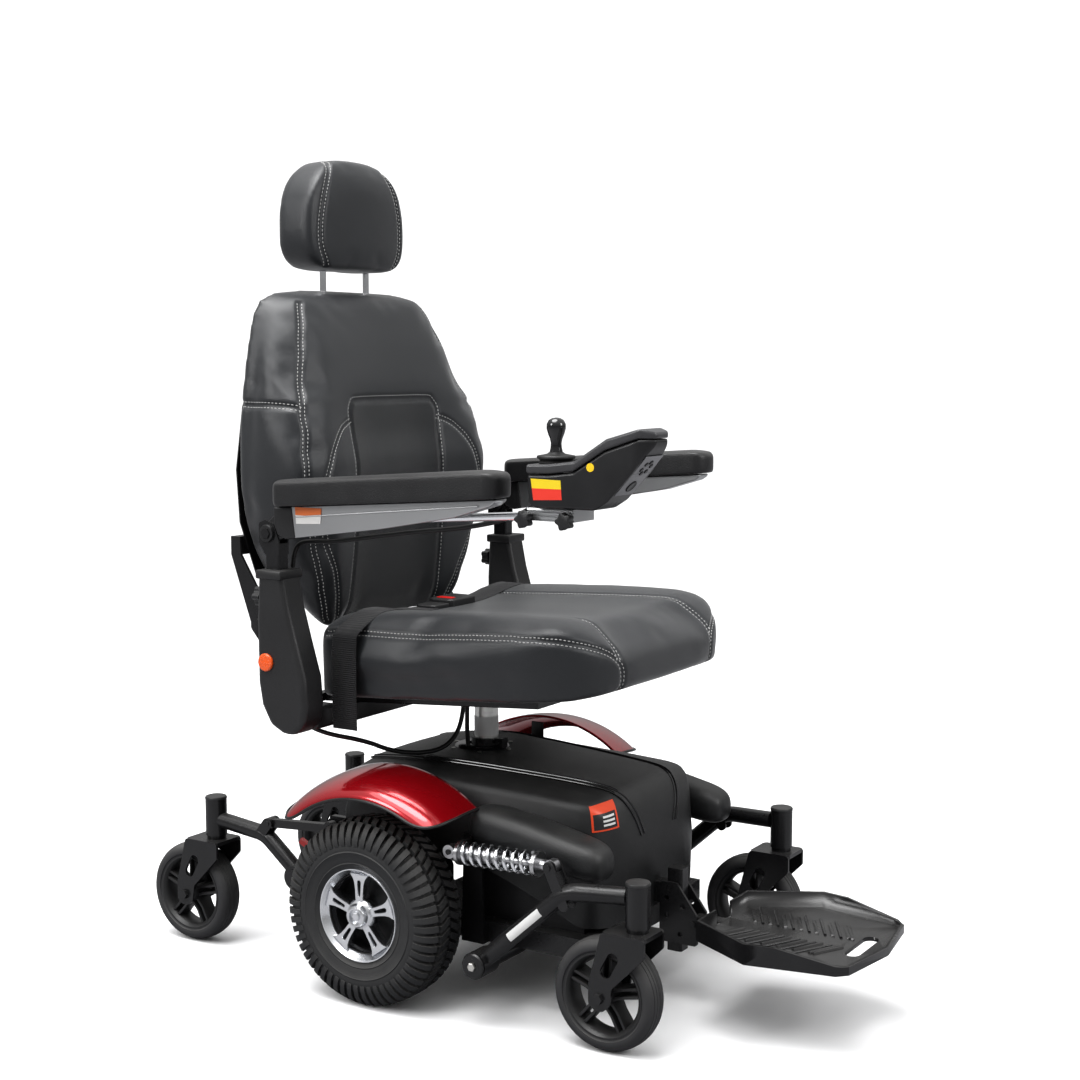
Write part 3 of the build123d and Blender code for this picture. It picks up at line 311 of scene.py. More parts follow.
def geometry_tree(name, inputs):
    """Geometry Nodes tree with named inputs; returns it with its input and output nodes."""
    tree = bpy.data.node_groups.new(name, "GeometryNodeTree")
    tree.interface.new_socket("Geometry", in_out="INPUT", socket_type="NodeSocketGeometry")
    for label, kind, value in inputs:
        socket = tree.interface.new_socket(label, in_out="INPUT", socket_type="NodeSocket" + kind)
        if value is not None:
            socket.default_value = value
    tree.interface.new_socket("Geometry", in_out="OUTPUT", socket_type="NodeSocketGeometry")
    return tree, tree.nodes.new("NodeGroupInput"), tree.nodes.new("NodeGroupOutput")


# one part repeated at equal angles round an axis
ring_tree, ring_in, ring_out = geometry_tree("parts_in_a_ring", (
    ("Count", "Int", 12), ("First angle", "Float", 0.0), ("Axis", "Vector", (1, 0, 0)),
    ("Centre", "Vector", (0, 0, 0)), ("Finish", "Material", None)))
ring_nodes, ring_links = ring_tree.nodes, ring_tree.links
line_node = ring_nodes.new("GeometryNodeMeshLine")
line_node.inputs["Offset"].default_value = (0, 0, 0)
ring_links.new(ring_in.outputs["Count"], line_node.inputs["Count"])
index_node = ring_nodes.new("GeometryNodeInputIndex")
share = arithmetic(ring_nodes, ring_links, "DIVIDE", index_node.outputs[0], ring_in.outputs["Count"])
full = arithmetic(ring_nodes, ring_links, "MULTIPLY", share, 2 * math.pi)
angle_out = arithmetic(ring_nodes, ring_links, "ADD", full, ring_in.outputs["First angle"])
turn_node = ring_nodes.new("ShaderNodeVectorMath")
turn_node.operation = "SCALE"
ring_links.new(ring_in.outputs["Axis"], turn_node.inputs[0])
ring_links.new(angle_out, turn_node.inputs["Scale"])
copies_node = ring_nodes.new("GeometryNodeInstanceOnPoints")
ring_links.new(line_node.outputs[0], copies_node.inputs["Points"])
ring_links.new(ring_in.outputs["Geometry"], copies_node.inputs["Instance"])
ring_links.new(turn_node.outputs[0], copies_node.inputs["Rotation"])
real_node = ring_nodes.new("GeometryNodeRealizeInstances")
ring_links.new(copies_node.outputs[0], real_node.inputs[0])
move_node = ring_nodes.new("GeometryNodeTransform")
ring_links.new(real_node.outputs[0], move_node.inputs["Geometry"])
ring_links.new(ring_in.outputs["Centre"], move_node.inputs["Translation"])
coat_node = ring_nodes.new("GeometryNodeSetMaterial")
ring_links.new(move_node.outputs[0], coat_node.inputs["Geometry"])
ring_links.new(ring_in.outputs["Finish"], coat_node.inputs["Material"])
ring_links.new(coat_node.outputs[0], ring_out.inputs[0])


def grown(tree, seed, **values):
    """Plain mesh that a Geometry Nodes tree makes from a seed mesh."""
    carrier = bpy.data.objects.new("carrier", seed)
    bpy.context.scene.collection.objects.link(carrier)
    maker = carrier.modifiers.new("maker", "NODES")
    maker.node_group = tree
    for item in tree.interface.items_tree:
        label = item.name.replace(" ", "_")
        if item.in_out == "INPUT" and label in values:
            maker[item.identifier] = values[label]
    graph = bpy.context.evaluated_depsgraph_get()
    graph.update()
    mesh = bpy.data.meshes.new_from_object(carrier.evaluated_get(graph), depsgraph=graph)
    bpy.data.objects.remove(carrier)
    return mesh


def block(section, half_angle, slant=0.0, middle=0.0):
    """One tread block: a section of (along, radius) swept over a small angle, about the origin."""
    rings = []
    for turn in (-half_angle, half_angle):
        ring = []
        for a, r in section:
            angle = math.radians(turn + slant * (a - middle))
            ring.append((a, r * math.cos(angle), r * math.sin(angle)))
        rings.append(ring)
    return lofted("block", rings)


tyre_rubber = finish("tyre_rubber", (0.024, 0.0245, 0.026), 0.55, grain=0.0016, depth=0.25,
                     cloud=0.03, variation=0.2, dust=0.35, specular=0.35)
drive_centre = (0, 0, 137)
drive_x = 253
carcass = turned("carcass", [
    (216, 66), (213, 74), (210, 88), (209.6, 100), (212, 113), (219, 123), (232, 128.5),
    (253, 130.5), (274, 128.5), (287, 123), (294, 113), (296.4, 100), (296, 95), (297, 93.4),
    (296, 91.8), (295.4, 84), (294, 78), (294.6, 76.6), (293, 75), (291, 69.5), (288, 66)],
    drive_centre, steps=144)
shoulder_lug = block([(277, 126), (281, 135.5), (289, 130), (295, 120), (297.6, 108), (296.8, 103),
                      (293, 103), (291, 116), (285, 123)], 1.95, slant=0.05, middle=285)
inner_shoulder_lug = block([(506 - a, r) for a, r in (
    (277, 126), (281, 135.5), (289, 130), (295, 120), (296.4, 108), (295.6, 103), (293, 103),
    (291, 116), (285, 123))], 1.95, slant=0.05, middle=221)
centre_block = block([(255, 129), (255.5, 137), (266, 136.9), (274.5, 136), (275.5, 127)], 2.0,
                     slant=0.2, middle=253)
other_centre_block = block([(506 - a, r) for a, r in (
    (255, 129), (255.5, 137), (266, 136.9), (274.5, 136), (275.5, 127))], 2.0, slant=-0.2,
    middle=253)
lug_count = 56
half_pitch = math.pi / lug_count
drive_hub_point = tuple(c / 1000 for c in drive_centre)
tread = [grown(ring_tree, seed, Count=lug_count, First_angle=phase, Centre=drive_hub_point,
               Finish=tyre_rubber)
         for seed, phase in ((shoulder_lug, 0.0), (inner_shoulder_lug, half_pitch),
                             (centre_block, half_pitch), (other_centre_block, 0.0))]
pair("drive_tyre_block_tread", joined("tyre", carcass, *tread), tyre_rubber, "drive_wheel_{}",
     "drive_tyre_{}", slot="tyre_rubber", crease=32)


# ---- Drive rims ------------------------------------------------------------------------------
# Cast aluminium wheels, machined bright on the face: five broad spokes with a slot along each,
# a raised hub cap round a hexagon nut. Behind the spokes, a black disc that also lines the rim's
# barrel is painted shade: it stands in for the shadowy inside of the wheel.

def plate(name, outer, inner, back, front, ease=0.0):
    """Plate with a matching hole: outer and inner loops of (radius, sideways) at two depths."""
    points, faces, count = [], [], len(outer)
    for depth in (back, front):
        for loop in (outer, inner):
            points += [(depth, r, t) for r, t in loop]
    for k in range(count):
        n = (k + 1) % count
        faces += [(k, n, count + n, count + k),
                  (2 * count + k, 2 * count + n, 3 * count + n, 3 * count + k),
                  (k, n, 2 * count + n, 2 * count + k),
                  (count + k, count + n, 3 * count + n, 3 * count + k)]
    mesh = solid(name, points, faces)
    if ease:
        ease_edges(mesh, ease, 25)
    return mesh


def ease_edges(mesh, width, angle, segments=2):
    """Rounds the edges sharper than an angle, by a width in millimetres."""
    work = bmesh.new()
    work.from_mesh(mesh)
    sharp = [e for e in work.edges if len(e.link_faces) == 2
             and e.calc_face_angle(0) > math.radians(angle)]
    bmesh.ops.bevel(work, geom=sharp, offset=width / 1000, segments=segments, profile=0.5,
                    affect="EDGES", clamp_overlap=True)
    work.to_mesh(mesh)
    work.free()


rim_silver = finish("rim_silver", (0.72, 0.73, 0.75), 0.24, metallic=1.0, grain=0.0006, depth=0.05,
                    variation=0.06)
# painted shade: black for the disc that darkens the inside of the rim behind the spokes
dark_cover = finish("dark_cover", (0.012, 0.012, 0.013), 0.5, grain=0.002)
rim_ring = turned("rim_ring", [
    (291, 69.6), (293, 68.4), (293, 67), (291.4, 65.6), (287, 63.6), (282, 58.5), (276, 56.5),
    (225, 56.5), (219, 60), (216, 65.5), (215, 69.6), (217, 69.6), (219, 66.2), (287, 66.2),
    (289.4, 69.6)], drive_centre, steps=120)
spoke_half = [(13, 6.4), (24, 6.6), (36, 7.2), (46, 8.6), (53, 11.0), (60, 16.5)]
slot_half = [(28, 0.9), (29.5, 2.0), (36, 2.4), (43, 2.8), (48.5, 3.1), (51, 1.5)]
spoke = plate("spoke", spoke_half + [(r, -t) for r, t in reversed(spoke_half)],
              slot_half + [(r, -t) for r, t in reversed(slot_half)], 270, 288.5, ease=1.4)
spokes = grown(ring_tree, spoke, Count=5, First_angle=math.radians(90), Centre=drive_hub_point,
               Finish=rim_silver)
hub_cap = turned("hub_cap", [
    (262, 0), (262, 24), (282, 24), (286, 22.5), (289.6, 19.5), (290.4, 17.6), (296, 16.6),
    (298.4, 15.2), (299.4, 12.6), (298.8, 10.6), (294.6, 10), (294.2, 0)], drive_centre,
    closed=False, steps=72)
hub_nut = turned("hub_nut", [(292, 0), (292, 6.4), (297.4, 6.4), (298.2, 5.4), (298.2, 0)],
                 drive_centre, closed=False, steps=6)
pair("drive_rim_spoked", joined("rim", rim_ring, spokes, hub_cap, hub_nut), rim_silver,
     "drive_wheel_{}", "drive_rim_{}", slot="rim_silver", crease=30)
# painted shade: a black disc behind the spokes and a black lining over the rim's silver barrel, standing in for
# the shade inside the wheel
cover_disc = turned("cover_disc", [(250, 0), (250, 56.2), (283, 58.6), (282.4, 57.6), (255, 55), (256, 40), (262, 24), (262, 0)],
                    drive_centre, closed=False, steps=72)
pair("drive_rim_dust_cover", cover_disc, dark_cover, "drive_wheel_{}")


# ---- Caster wheels and forks -----------------------------------------------------------------
# Four 6 in casters: grey ribbed solid tyres on black moulded hubs with five double spokes, in
# powder-coated forks that swivel in the barrels of the arms.

caster_grey = finish("caster_grey", (0.032, 0.032, 0.034), 0.52, grain=0.001, depth=0.15, dust=0.3,
                     specular=0.4)
hub_black = finish("hub_black", (0.018, 0.018, 0.019), 0.38, grain=0.0008, depth=0.08, dust=0.12)
powder_black = finish("powder_black", (0.010, 0.010, 0.011), 0.24, grain=0.0009, depth=0.1,
                      variation=0.3, dust=0.08)
bolt_zinc = finish("bolt_zinc", (0.62, 0.61, 0.58), 0.3, metallic=1.0, grain=0.0005, depth=0.05)


def merged_copy(node, ease=0.8, angle=35):
    """Copy of a CAD node's mesh with its triangles merged and its sharp edges eased."""
    work = bmesh.new()
    work.from_mesh(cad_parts[node].data)
    bmesh.ops.remove_doubles(work, verts=work.verts, dist=1e-5)
    if ease:
        bmesh.ops.dissolve_limit(work, angle_limit=math.radians(1.5), verts=work.verts,
                                 edges=work.edges, delimit={"NORMAL"})
    mesh = bpy.data.meshes.new(node)
    work.to_mesh(mesh)
    work.free()
    if ease:
        ease_edges(mesh, ease, angle)
    return mesh


def refined(node, body, material, ease=0.8, angle=35):
    """CAD node kept in shape, with eased edges and its own finish."""
    return new_piece("eased_" + node, merged_copy(node, ease, angle), material, body, node,
                     crease=34, eased=True)


caster_tyre_half = [(0.9, 79.5), (1.5, 78.3), (2.1, 79.4), (6.4, 79.1), (7.0, 77.8), (7.6, 78.8),
                    (12, 77.8), (12.6, 76.3), (13.2, 77.2), (17, 75), (19.6, 71.5), (20.8, 66.5),
                    (20.2, 63), (18.6, 62.2), (17.6, 60), (16.5, 58)]
caster_rim_half = [(16.5, 60.4), (18.4, 60.2), (18.6, 57.5), (15.5, 54.2), (9, 51.5)]
caster_hub_profile = [(-23.4, 0), (-23.4, 9), (-22, 12), (-18, 14.5), (-10, 16), (10, 16), (18, 14.5),
                      (22, 12), (23.4, 9), (23.4, 0)]
for end, (barrel_x, barrel_y) in (("front", (233, -428)), ("rear", (180, 371))):
    centre = (0, barrel_y + 44, 79.5)
    across = lambda half: ([(barrel_x - a, r) for a, r in reversed(half)]
                           + [(barrel_x + a, r) for a, r in half])
    tyre = turned("caster_tyre", across(caster_tyre_half), centre, steps=112)
    rim = turned("caster_rim", across(caster_rim_half), centre, steps=96)
    boss = turned("caster_boss", [(barrel_x + a, r) for a, r in caster_hub_profile], centre,
                  closed=False, steps=48)
    bars = []
    for shift in (-5.6, 5.6):
        bar = lofted("bar", [[(a, r, shift + t) for a, t in ((-w, -2.2), (w, -2.2), (w, 2.2), (-w, 2.2))]
                             for r, w in ((13, 15), (30, 12), (54, 14))])
        ease_edges(bar, 0.8, 40)
        bars.append(bar)
    double_spokes = grown(ring_tree, joined("bars", *bars), Count=5, First_angle=0.4,
                          Centre=(barrel_x / 1000, centre[1] / 1000, 0.0795), Finish=hub_black)
    pair(f"caster_tyre_{end}", tyre, caster_grey, f"caster_wheel_{end}_{{}}",
         f"caster_wheel_{end}_{{}}", slot="caster_rubber", crease=30)
    pair(f"caster_hub_{end}", joined("hub", rim, boss, double_spokes), hub_black,
         f"caster_wheel_{end}_{{}}", f"caster_wheel_{end}_{{}}", slot="caster_hub")
    for side in ("left", "right"):
        refined(f"caster_fork_{end}_{side}", f"caster_fork_{end}_{side}", powder_black)
    cap = turned("barrel_cap", [(236.5, 0), (236.5, 17.4), (238.5, 17.6), (240.6, 16.4), (241.4, 14), (241.4, 0)],
                 (barrel_x, barrel_y, 0), axis="z", closed=False, steps=40)
    pair(f"barrel_cap_{end}", cap, hub_black, f"{end}_arm_{{}}")


# ---- Arms, shocks and frame ------------------------------------------------------------------
# Welded steel tube and plate, powder-coated black. Each front arm is sprung by a damper inside
# a chrome coil; the gearmotors and batteries sit low between the wheels.

for side in ("left", "right"):
    for end in ("front", "rear"):
        refined(f"{end}_arm_{side}", f"{end}_arm_{side}", powder_black, ease=0.7)
pivot_cap = turned("pivot_cap", [(268.6, 0), (268.6, 17.6), (270.4, 18.2), (272.4, 16.4), (272.8, 8), (272.8, 0)],
                   (0, -186, 90), closed=False, steps=56)
pair("arm_pivot_cap", pivot_cap, powder_black, "front_arm_{}")
pivot_bolt = turned("pivot_bolt", [(272.6, 0), (272.6, 6.4), (276, 6.4), (277, 5.2), (277, 0)],
                    (0, -186, 90), closed=False, steps=6)
pair("arm_pivot_bolt", pivot_bolt, bolt_zinc, "front_arm_{}", crease=20)
chrome = finish("chrome", (0.82, 0.83, 0.85), 0.09, metallic=1.0, grain=0.0006, depth=0.02,
                variation=0.05)
damper_steel = finish("damper_steel", (0.5, 0.5, 0.51), 0.28, metallic=1.0, grain=0.0006)
coil_points = []
coil_turns, coil_radius = 8.0, 15.0
rear_eye, front_eye = Vector((244, -131, 241)), Vector((244, -300, 245))
along = (front_eye - rear_eye).normalized()
across_up = along.cross(Vector((1, 0, 0))).normalized()
for i in range(int(coil_turns * 20) + 1):
    turn = 2 * math.pi * i / 20
    coil_points.append(rear_eye + along * (26 + 112 * i / (coil_turns * 20))
                       + coil_radius * (math.cos(turn) * across_up + math.sin(turn) * Vector((1, 0, 0))))


def wire(name, points, radius, sides=12):
    """Round wire or tube that follows points, as a mesh, in millimetres."""
    rings, side = [], None
    for i, p in enumerate(points):
        ahead = (Vector(points[min(i + 1, len(points) - 1)]) - Vector(points[max(i - 1, 0)])).normalized()
        side = (ahead.orthogonal() if side is None else side - side.dot(ahead) * ahead).normalized()
        other = ahead.cross(side)
        rings.append([Vector(p) + radius * (math.cos(2 * math.pi * k / sides) * side
                                            + math.sin(2 * math.pi * k / sides) * other)
                      for k in range(sides)])
    return lofted(name, rings)


pair("shock_coil", wire("coil", coil_points, 2.7), chrome, "shock_body_{}", "shock_spring_{}",
     slot="chrome_spring")
for side in ("left", "right"):
    refined(f"shock_body_{side}", f"shock_body_{side}", damper_steel, ease=0.6)
    refined(f"shock_rod_{side}", f"shock_rod_{side}", damper_steel, ease=0.5)
    refined(f"freewheel_lever_{side}", f"freewheel_{side}",
            finish(f"lever_red_{side}", (0.42, 0.015, 0.015), 0.3, coat=0.4), ease=0.5)
battery_case = finish("battery_case", (0.02, 0.02, 0.022), 0.5, grain=0.0015, depth=0.2, dust=0.2)
motor_paint = finish("motor_paint", (0.03, 0.03, 0.032), 0.42, grain=0.0014, depth=0.2, dust=0.2)
refined("chassis_frame", "base", powder_black, ease=0.8)
refined("batteries", "base", battery_case, ease=3.0)
refined("motors", "base", motor_paint, ease=1.2)
refined("rear_struts", "base", powder_black, ease=0.6)
refined("footrest_post", "base", powder_black, ease=0.7)
tray_black = finish("tray_black", (0.010, 0.010, 0.011), 0.2, grain=0.0012, depth=0.1, dust=0.1)
refined("footplate", "footplate", tray_black, ease=0)
tread_lean = math.radians(28)
tread_ribs = []
for y in range(-604, -480, 24):
    for side in (1, -1):
        tread_ribs.append(wire("rib", [(side * (42 + t * math.cos(tread_lean)), y + t * math.sin(tread_lean),
                                        125.2) for t in (-28, 0, 44)], 2.2, 10))
new_piece("tread_ribs", joined("ribs", *tread_ribs), tray_black, "footplate")



# ---- Fenders ---------------------------------------------------------------------------------
# Thin moulded mudguards over the drive wheels in deep candy red under clear coat, cut round at
# their ends, with a black rubber lip along the edge and a steel strap to the gearmotor.

def smooth_line(points, steps=8, closed=False):
    """Catmull-Rom line through points, in the same units."""
    points = [Vector(p) for p in points]
    count, line = len(points), []
    for i in range(count if closed else count - 1):
        if closed:
            a, b, c, d = (points[(i + k) % count] for k in (-1, 0, 1, 2))
        else:
            a, b, c, d = points[max(i - 1, 0)], points[i], points[i + 1], points[min(i + 2, count - 1)]
        for k in range(steps):
            t = k / steps
            line.append(0.5 * (2 * b + (c - a) * t + (2 * a - 5 * b + 4 * c - d) * t * t
                               + (3 * b - a - 3 * c + d) * t ** 3))
    if not closed:
        line.append(points[-1])
    return line


candy_red = finish("candy_red", (0.36, 0.001, 0.008), 0.17, metallic=0.5, grain=0.0005, depth=0.04,
                   cloud=0.2, variation=0.3, coat=1.0, dust=0.03)
lip_black = finish("lip_black", (0.012, 0.012, 0.012), 0.35, grain=0.001)
fender_y, fender_z = -12, 125
fender_from, fender_to = 44.0, 129.0
outer_line = smooth_line([(303, 186, 0), (301, 192, 0), (294, 200, 0), (280, 208, 0), (262, 214, 0),
                          (235, 218.5, 0), (204, 220, 0)], 6)


def along_line(line, share):
    position = share * (len(line) - 1)
    i = min(int(position), len(line) - 2)
    return line[i].lerp(line[i + 1], position - i)


outer_rings, edge_line = [], []
for step in range(73):
    angle = fender_from + (fender_to - fender_from) * step / 72
    cut = 0.0
    for distance, reach, depth in ((fender_to - angle, 17.0, 0.72), (angle - fender_from, 13.0, 0.5)):
        if distance < reach:
            cut = max(cut, depth * (1 - math.sqrt(max(0.0, 1 - (1 - distance / reach) ** 2))))
    c, s = math.cos(math.radians(angle)), math.sin(math.radians(angle))
    ring = []
    for k in range(25):
        x, r, _ = along_line(outer_line, cut + (1 - cut) * k / 24)
        ring.append((x, fender_y + r * c, fender_z + r * s))
    outer_rings.append(ring)
    edge_line.append(ring[0])
guard = lofted("guard", outer_rings, ring_closed=False, capped=False)
fender_pieces = pair("fender_shell", guard, candy_red, "base", crease=60, slot="fender_red")
for piece in fender_pieces:
    wall = piece.modifiers.new("wall", "SOLIDIFY")
    wall.thickness, wall.offset = 0.003, -1.0
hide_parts("fenders")
lip_path = ([outer_rings[0][k] for k in range(24, 0, -3)] + edge_line
            + [outer_rings[-1][k] for k in range(3, 25, 3)])
pair("fender_lip", wire("lip", lip_path, 2.3, 10), lip_black, "base")
strap = bmesh.new()


def prism(name, outline, axis, low, high, ease=0.0, segments=3):
    """Outline in the plane across an axis, extruded between two heights, with eased edges."""
    rings = []
    for level in (low, high):
        rings.append([{"x": (level, a, b), "y": (a, level, b), "z": (a, b, level)}[axis]
                      for a, b in outline])
    mesh = lofted(name, rings)
    if ease:
        ease_edges(mesh, ease, 20, segments)
    return mesh


strap.free()
strap_mesh = prism("strap", [(-9, 155), (13, 155), (13, 334), (-9, 334)], "x", 200, 204.2, 0.8, 2)
pair("fender_strap", strap_mesh, powder_black, "base")


# ---- Base shroud -----------------------------------------------------------------------------
# Black grained cover over the batteries: a rounded lid with a double bead along each top edge,
# a rounded pod on each side at the front, and a gloss flange ring round the seat post.

shroud_black = finish("shroud_black", (0.015, 0.0155, 0.0165), 0.38, grain=0.0013, depth=0.35, cloud=0.1,
                      variation=0.2, dust=0.12)
gloss_black = finish("gloss_black", (0.01, 0.01, 0.011), 0.16, grain=0.0008, depth=0.03, coat=0.3)
shroud_spine = [  # y, then half-width and height of lid edge, shoulder, side and hem, and crown
    (121, (84, 312), (138, 296), (158, 250), (160, 224), 2),
    (112, (94, 322), (146, 305), (164, 252), (164, 221), 2),
    (10, (108, 334), (154, 317), (168, 262), (170, 212), 2),
    (-80, (100, 333), (154, 315), (168, 262), (171, 205), 2),
    (-150, (93, 330), (153, 313), (167, 262), (172, 196), 2),
    (-225, (85, 326), (152, 310), (164, 250), (166, 166), 1),
    (-285, (80, 321), (150, 306), (158, 240), (156, 134), 1),
    (-308, (76, 314), (140, 297), (150, 230), (146, 130), 1),
    (-322, (70, 301), (122, 281), (134, 215), (128, 129), 0),
    (-331, (60, 280), (98, 256), (112, 200), (108, 130), 0),
    (-335, (46, 250), (70, 236), (84, 190), (84, 134), 0)]
levels = smooth_line([(y, 0, 0) for y, *_ in shroud_spine], 4)


def spine_value(column, part, station):
    line = smooth_line([(row[column] if part is None else row[column][part], 0, 0)
                        for row in shroud_spine], 4)
    return line[station].x


shroud_rings, lid_edges = [], []
for station, level in enumerate(levels):
    top_w, top_z = spine_value(1, 0, station), spine_value(1, 1, station)
    sh_w, sh_z = spine_value(2, 0, station), spine_value(2, 1, station)
    side_w, side_z = spine_value(3, 0, station), spine_value(3, 1, station)
    hem_w, hem_z = spine_value(4, 0, station), spine_value(4, 1, station)
    crown = spine_value(5, None, station)
    half = [(0, top_z + crown), (top_w * 0.4, top_z + crown * 0.85), (top_w * 0.8, top_z + crown * 0.35),
            (top_w - 6, top_z + 0.6), (top_w, top_z - 0.6), (top_w + 5, top_z - 3.4),
            (top_w * 0.5 + sh_w * 0.5, (top_z + sh_z) / 2 + 1.5), (sh_w - 6, sh_z + 5),
            (sh_w, sh_z), (sh_w + 3, sh_z - 8),
            (sh_w * 0.35 + side_w * 0.65, sh_z * 0.4 + side_z * 0.6),
            (side_w, side_z), (side_w * 0.6 + hem_w * 0.4, side_z * 0.6 + hem_z * 0.4), (hem_w, hem_z)]
    y = level.x
    ring = [(-x, y, z) for x, z in reversed(half[1:])] + [(x, y, z) for x, z in half]
    shroud_rings.append(ring)
    lid_edges.append(Vector((top_w - 2, y, top_z + 0.2)))
shroud_lid = lofted("shroud", shroud_rings, ring_closed=False, capped=False)
nose = bmesh.new()
nose.from_mesh(shroud_lid)
for boundary in (min, max):
    limit = boundary(v.co.y for v in nose.verts)
    rim = [v for v in nose.verts if abs(v.co.y - limit) < 1e-5]
    rim.sort(key=lambda v: math.atan2(v.co.x, v.co.z - 0.22))
    nose.faces.new(rim)
bmesh.ops.recalc_face_normals(nose, faces=nose.faces)
nose.to_mesh(shroud_lid)
nose.free()
shroud = new_piece("shroud_cover", shroud_lid, shroud_black, "base", "base_shroud",
                   slot="shroud_plastic", crease=50)
for offset, drop in ((0.0, 0.0), (9.0, -1.6)):
    bead = [p + Vector((offset, 0, drop)) for p in lid_edges[3:]]
    pair(f"shroud_bead_{int(offset)}", wire("bead", bead, 1.5, 8), gloss_black, "base")

pod_spine = [(-134, 14, 15, 270), (-138, 24, 23, 270), (-150, 31, 29, 270), (-180, 34, 31, 268),
             (-240, 35, 31, 259), (-300, 35, 29, 248), (-330, 33.5, 28, 243), (-346, 29, 24, 240),
             (-354, 21, 18, 238), (-357, 11, 9, 237), (-357.6, 0.6, 0.6, 237)]
pod_rings = []
for y, half_w, half_h, mid in [(v.x, *rest) for v, rest in zip(
        [Vector((row[0], 0, 0)) for row in pod_spine], [row[1:] for row in pod_spine])]:
    ring = []
    for k in range(40):
        a = 2 * math.pi * k / 40
        c, s = math.cos(a), math.sin(a)
        ring.append((186 + half_w * math.copysign(abs(c) ** 0.72, c), y,
                     mid + half_h * math.copysign(abs(s) ** 0.72, s)))
    pod_rings.append(ring)
for piece in pair("shroud_pod", lofted("pod", pod_rings), shroud_black, "base", crease=70):
    even = piece.modifiers.new("even", "SUBSURF")
    even.levels = even.render_levels = 2
flange = turned("flange", [(340, 21), (340, 36), (338, 41), (334, 44), (332.5, 52), (331, 57), (327, 58),
                           (324, 58), (324, 21)], (0, -22, 0), axis="z", steps=80)
flange_piece = new_piece("post_flange", flange, gloss_black, "base")
bolt_seed = turned("bolt", [(0, 0), (0, 4.2), (3.2, 4.2), (4.2, 3.2), (4.2, 0)], (49, 0, 0), axis="z",
                   closed=False, steps=6)
flange_bolts = grown(ring_tree, bolt_seed, Count=6, First_angle=0.5, Axis=(0, 0, 1),
                     Centre=(0, -0.022, 0.3325), Finish=bolt_zinc)
new_piece("flange_bolts", flange_bolts, bolt_zinc, "base")
plug = turned("plug", [(331, 0), (331, 11), (334.4, 11), (335.4, 9.5), (335.2, 6.4), (334, 6), (334, 0)],
              (-100, 4, 0), axis="z", closed=False, steps=40)
pair("lid_plug", mirrored(plug), hub_black, "base")


# ---- Blank labels ----------------------------------------------------------------------------
# Thin plastic labels with plain bands of colour, no words: one on the shroud's shoulder, a white
# strip round each front arm, one on the right armrest rail, and two on the control box.

def label_material(name, top_colour, low_colour, split, axis="Z"):
    """Two plain bands of colour split at a height along one axis."""
    material = finish(name, top_colour, 0.35, grain=0.0008, depth=0.03, variation=0.02)
    nodes, links = material.node_tree.nodes, material.node_tree.links
    place = nodes.new("ShaderNodeTexCoord")
    parts = nodes.new("ShaderNodeSeparateXYZ")
    links.new(place.outputs["Object"], parts.inputs[0])
    lower = arithmetic(nodes, links, "LESS_THAN", parts.outputs[axis], split)
    bands = nodes.new("ShaderNodeMix")
    bands.data_type = "RGBA"
    bands.inputs["A"].default_value = (*top_colour, 1)
    bands.inputs["B"].default_value = (*low_colour, 1)
    links.new(lower, bands.inputs["Factor"])
    links.new(bands.outputs["Result"], nodes["Principled BSDF"].inputs["Base Color"])
    return material


def label(name, corners, material, body, thickness=0.5):
    """Thin four-cornered label standing off its surface; corners in millimetres."""
    a, b, c, d = (Vector(p) for p in corners)
    normal = (b - a).cross(d - a).normalized() * thickness
    mesh = lofted(name, [[a, b, c, d], [a + normal, b + normal, c + normal, d + normal]])
    return new_piece(name, mesh, material, body, crease=30)


shroud_label = label_material("label_red", (0.75, 0.075, 0.02), (0.75, 0.075, 0.02), 0.2925)
shroud_tree = BVHTree.FromPolygons([v.co * 1000 for v in shroud_lid.vertices],
                                   [tuple(p.vertices) for p in shroud_lid.polygons])
label_towards = Vector((0.62, 0.785, 0))


def wrapped_label(name, across, down, lift, material):
    """Thin label bent round the shroud's corner between shares of its width and height."""
    rows = []
    for i in range(9):
        row = []
        for k in range(9):
            u, v = across[0] + (across[1] - across[0]) * k / 8, down[0] + (down[1] - down[0]) * i / 8
            spot = Vector((-151 + 40 * u, -309 - 22 * u - 3 * v, 306 - 36 * v + 2 * u))
            row.append(shroud_tree.ray_cast(spot - label_towards * 150, label_towards)[0])
        rows.append([p - label_towards * lift for p in row] + [p for p in reversed(row)])
    return new_piece(name, lofted(name, rows), material, "base", crease=30)


wrapped_label("shroud_label", (0, 1), (0, 1), 0.7, shroud_label)
label_ink = finish("label_ink", (0.02, 0.02, 0.021), 0.4, grain=0.0008, depth=0.03)
label_white = finish("label_white", (0.7, 0.7, 0.69), 0.4, grain=0.0008, depth=0.03)
wrapped_label("shroud_label_panel", (0.07, 0.93), (0.32, 0.93), 0.95, label_ink)
for line in range(3):
    wrapped_label(f"shroud_label_line_{line}", (0.4, 0.86), (0.42 + 0.16 * line, 0.5 + 0.16 * line), 1.2,
                  label_white)


arm_low, arm_bend = Vector((250, -186, 90)), Vector((246, -324, 214))
arm_run = (arm_bend - arm_low).normalized()
arm_outward = (Vector((1, 0, 0)) - arm_run * arm_run.x).normalized()
strip_arc = [math.cos(math.radians(a)) * arm_outward + math.sin(math.radians(a)) * arm_run.cross(arm_outward)
             for a in range(-28, 29, 7)]
strip_rings = []
for share in (0.38, 0.74):
    spot = arm_low.lerp(arm_bend, share)
    strip_rings.append([spot + p * 13.1 for p in strip_arc] + [spot + p * 12.2 for p in reversed(strip_arc)])
pair("arm_label", lofted("strip", strip_rings), label_white, "front_arm_{}", crease=30)


# ---- Seat post and pan -----------------------------------------------------------------------
# Machined steel post in a bolted collar, marked with plain rings for height, under a welded pan.

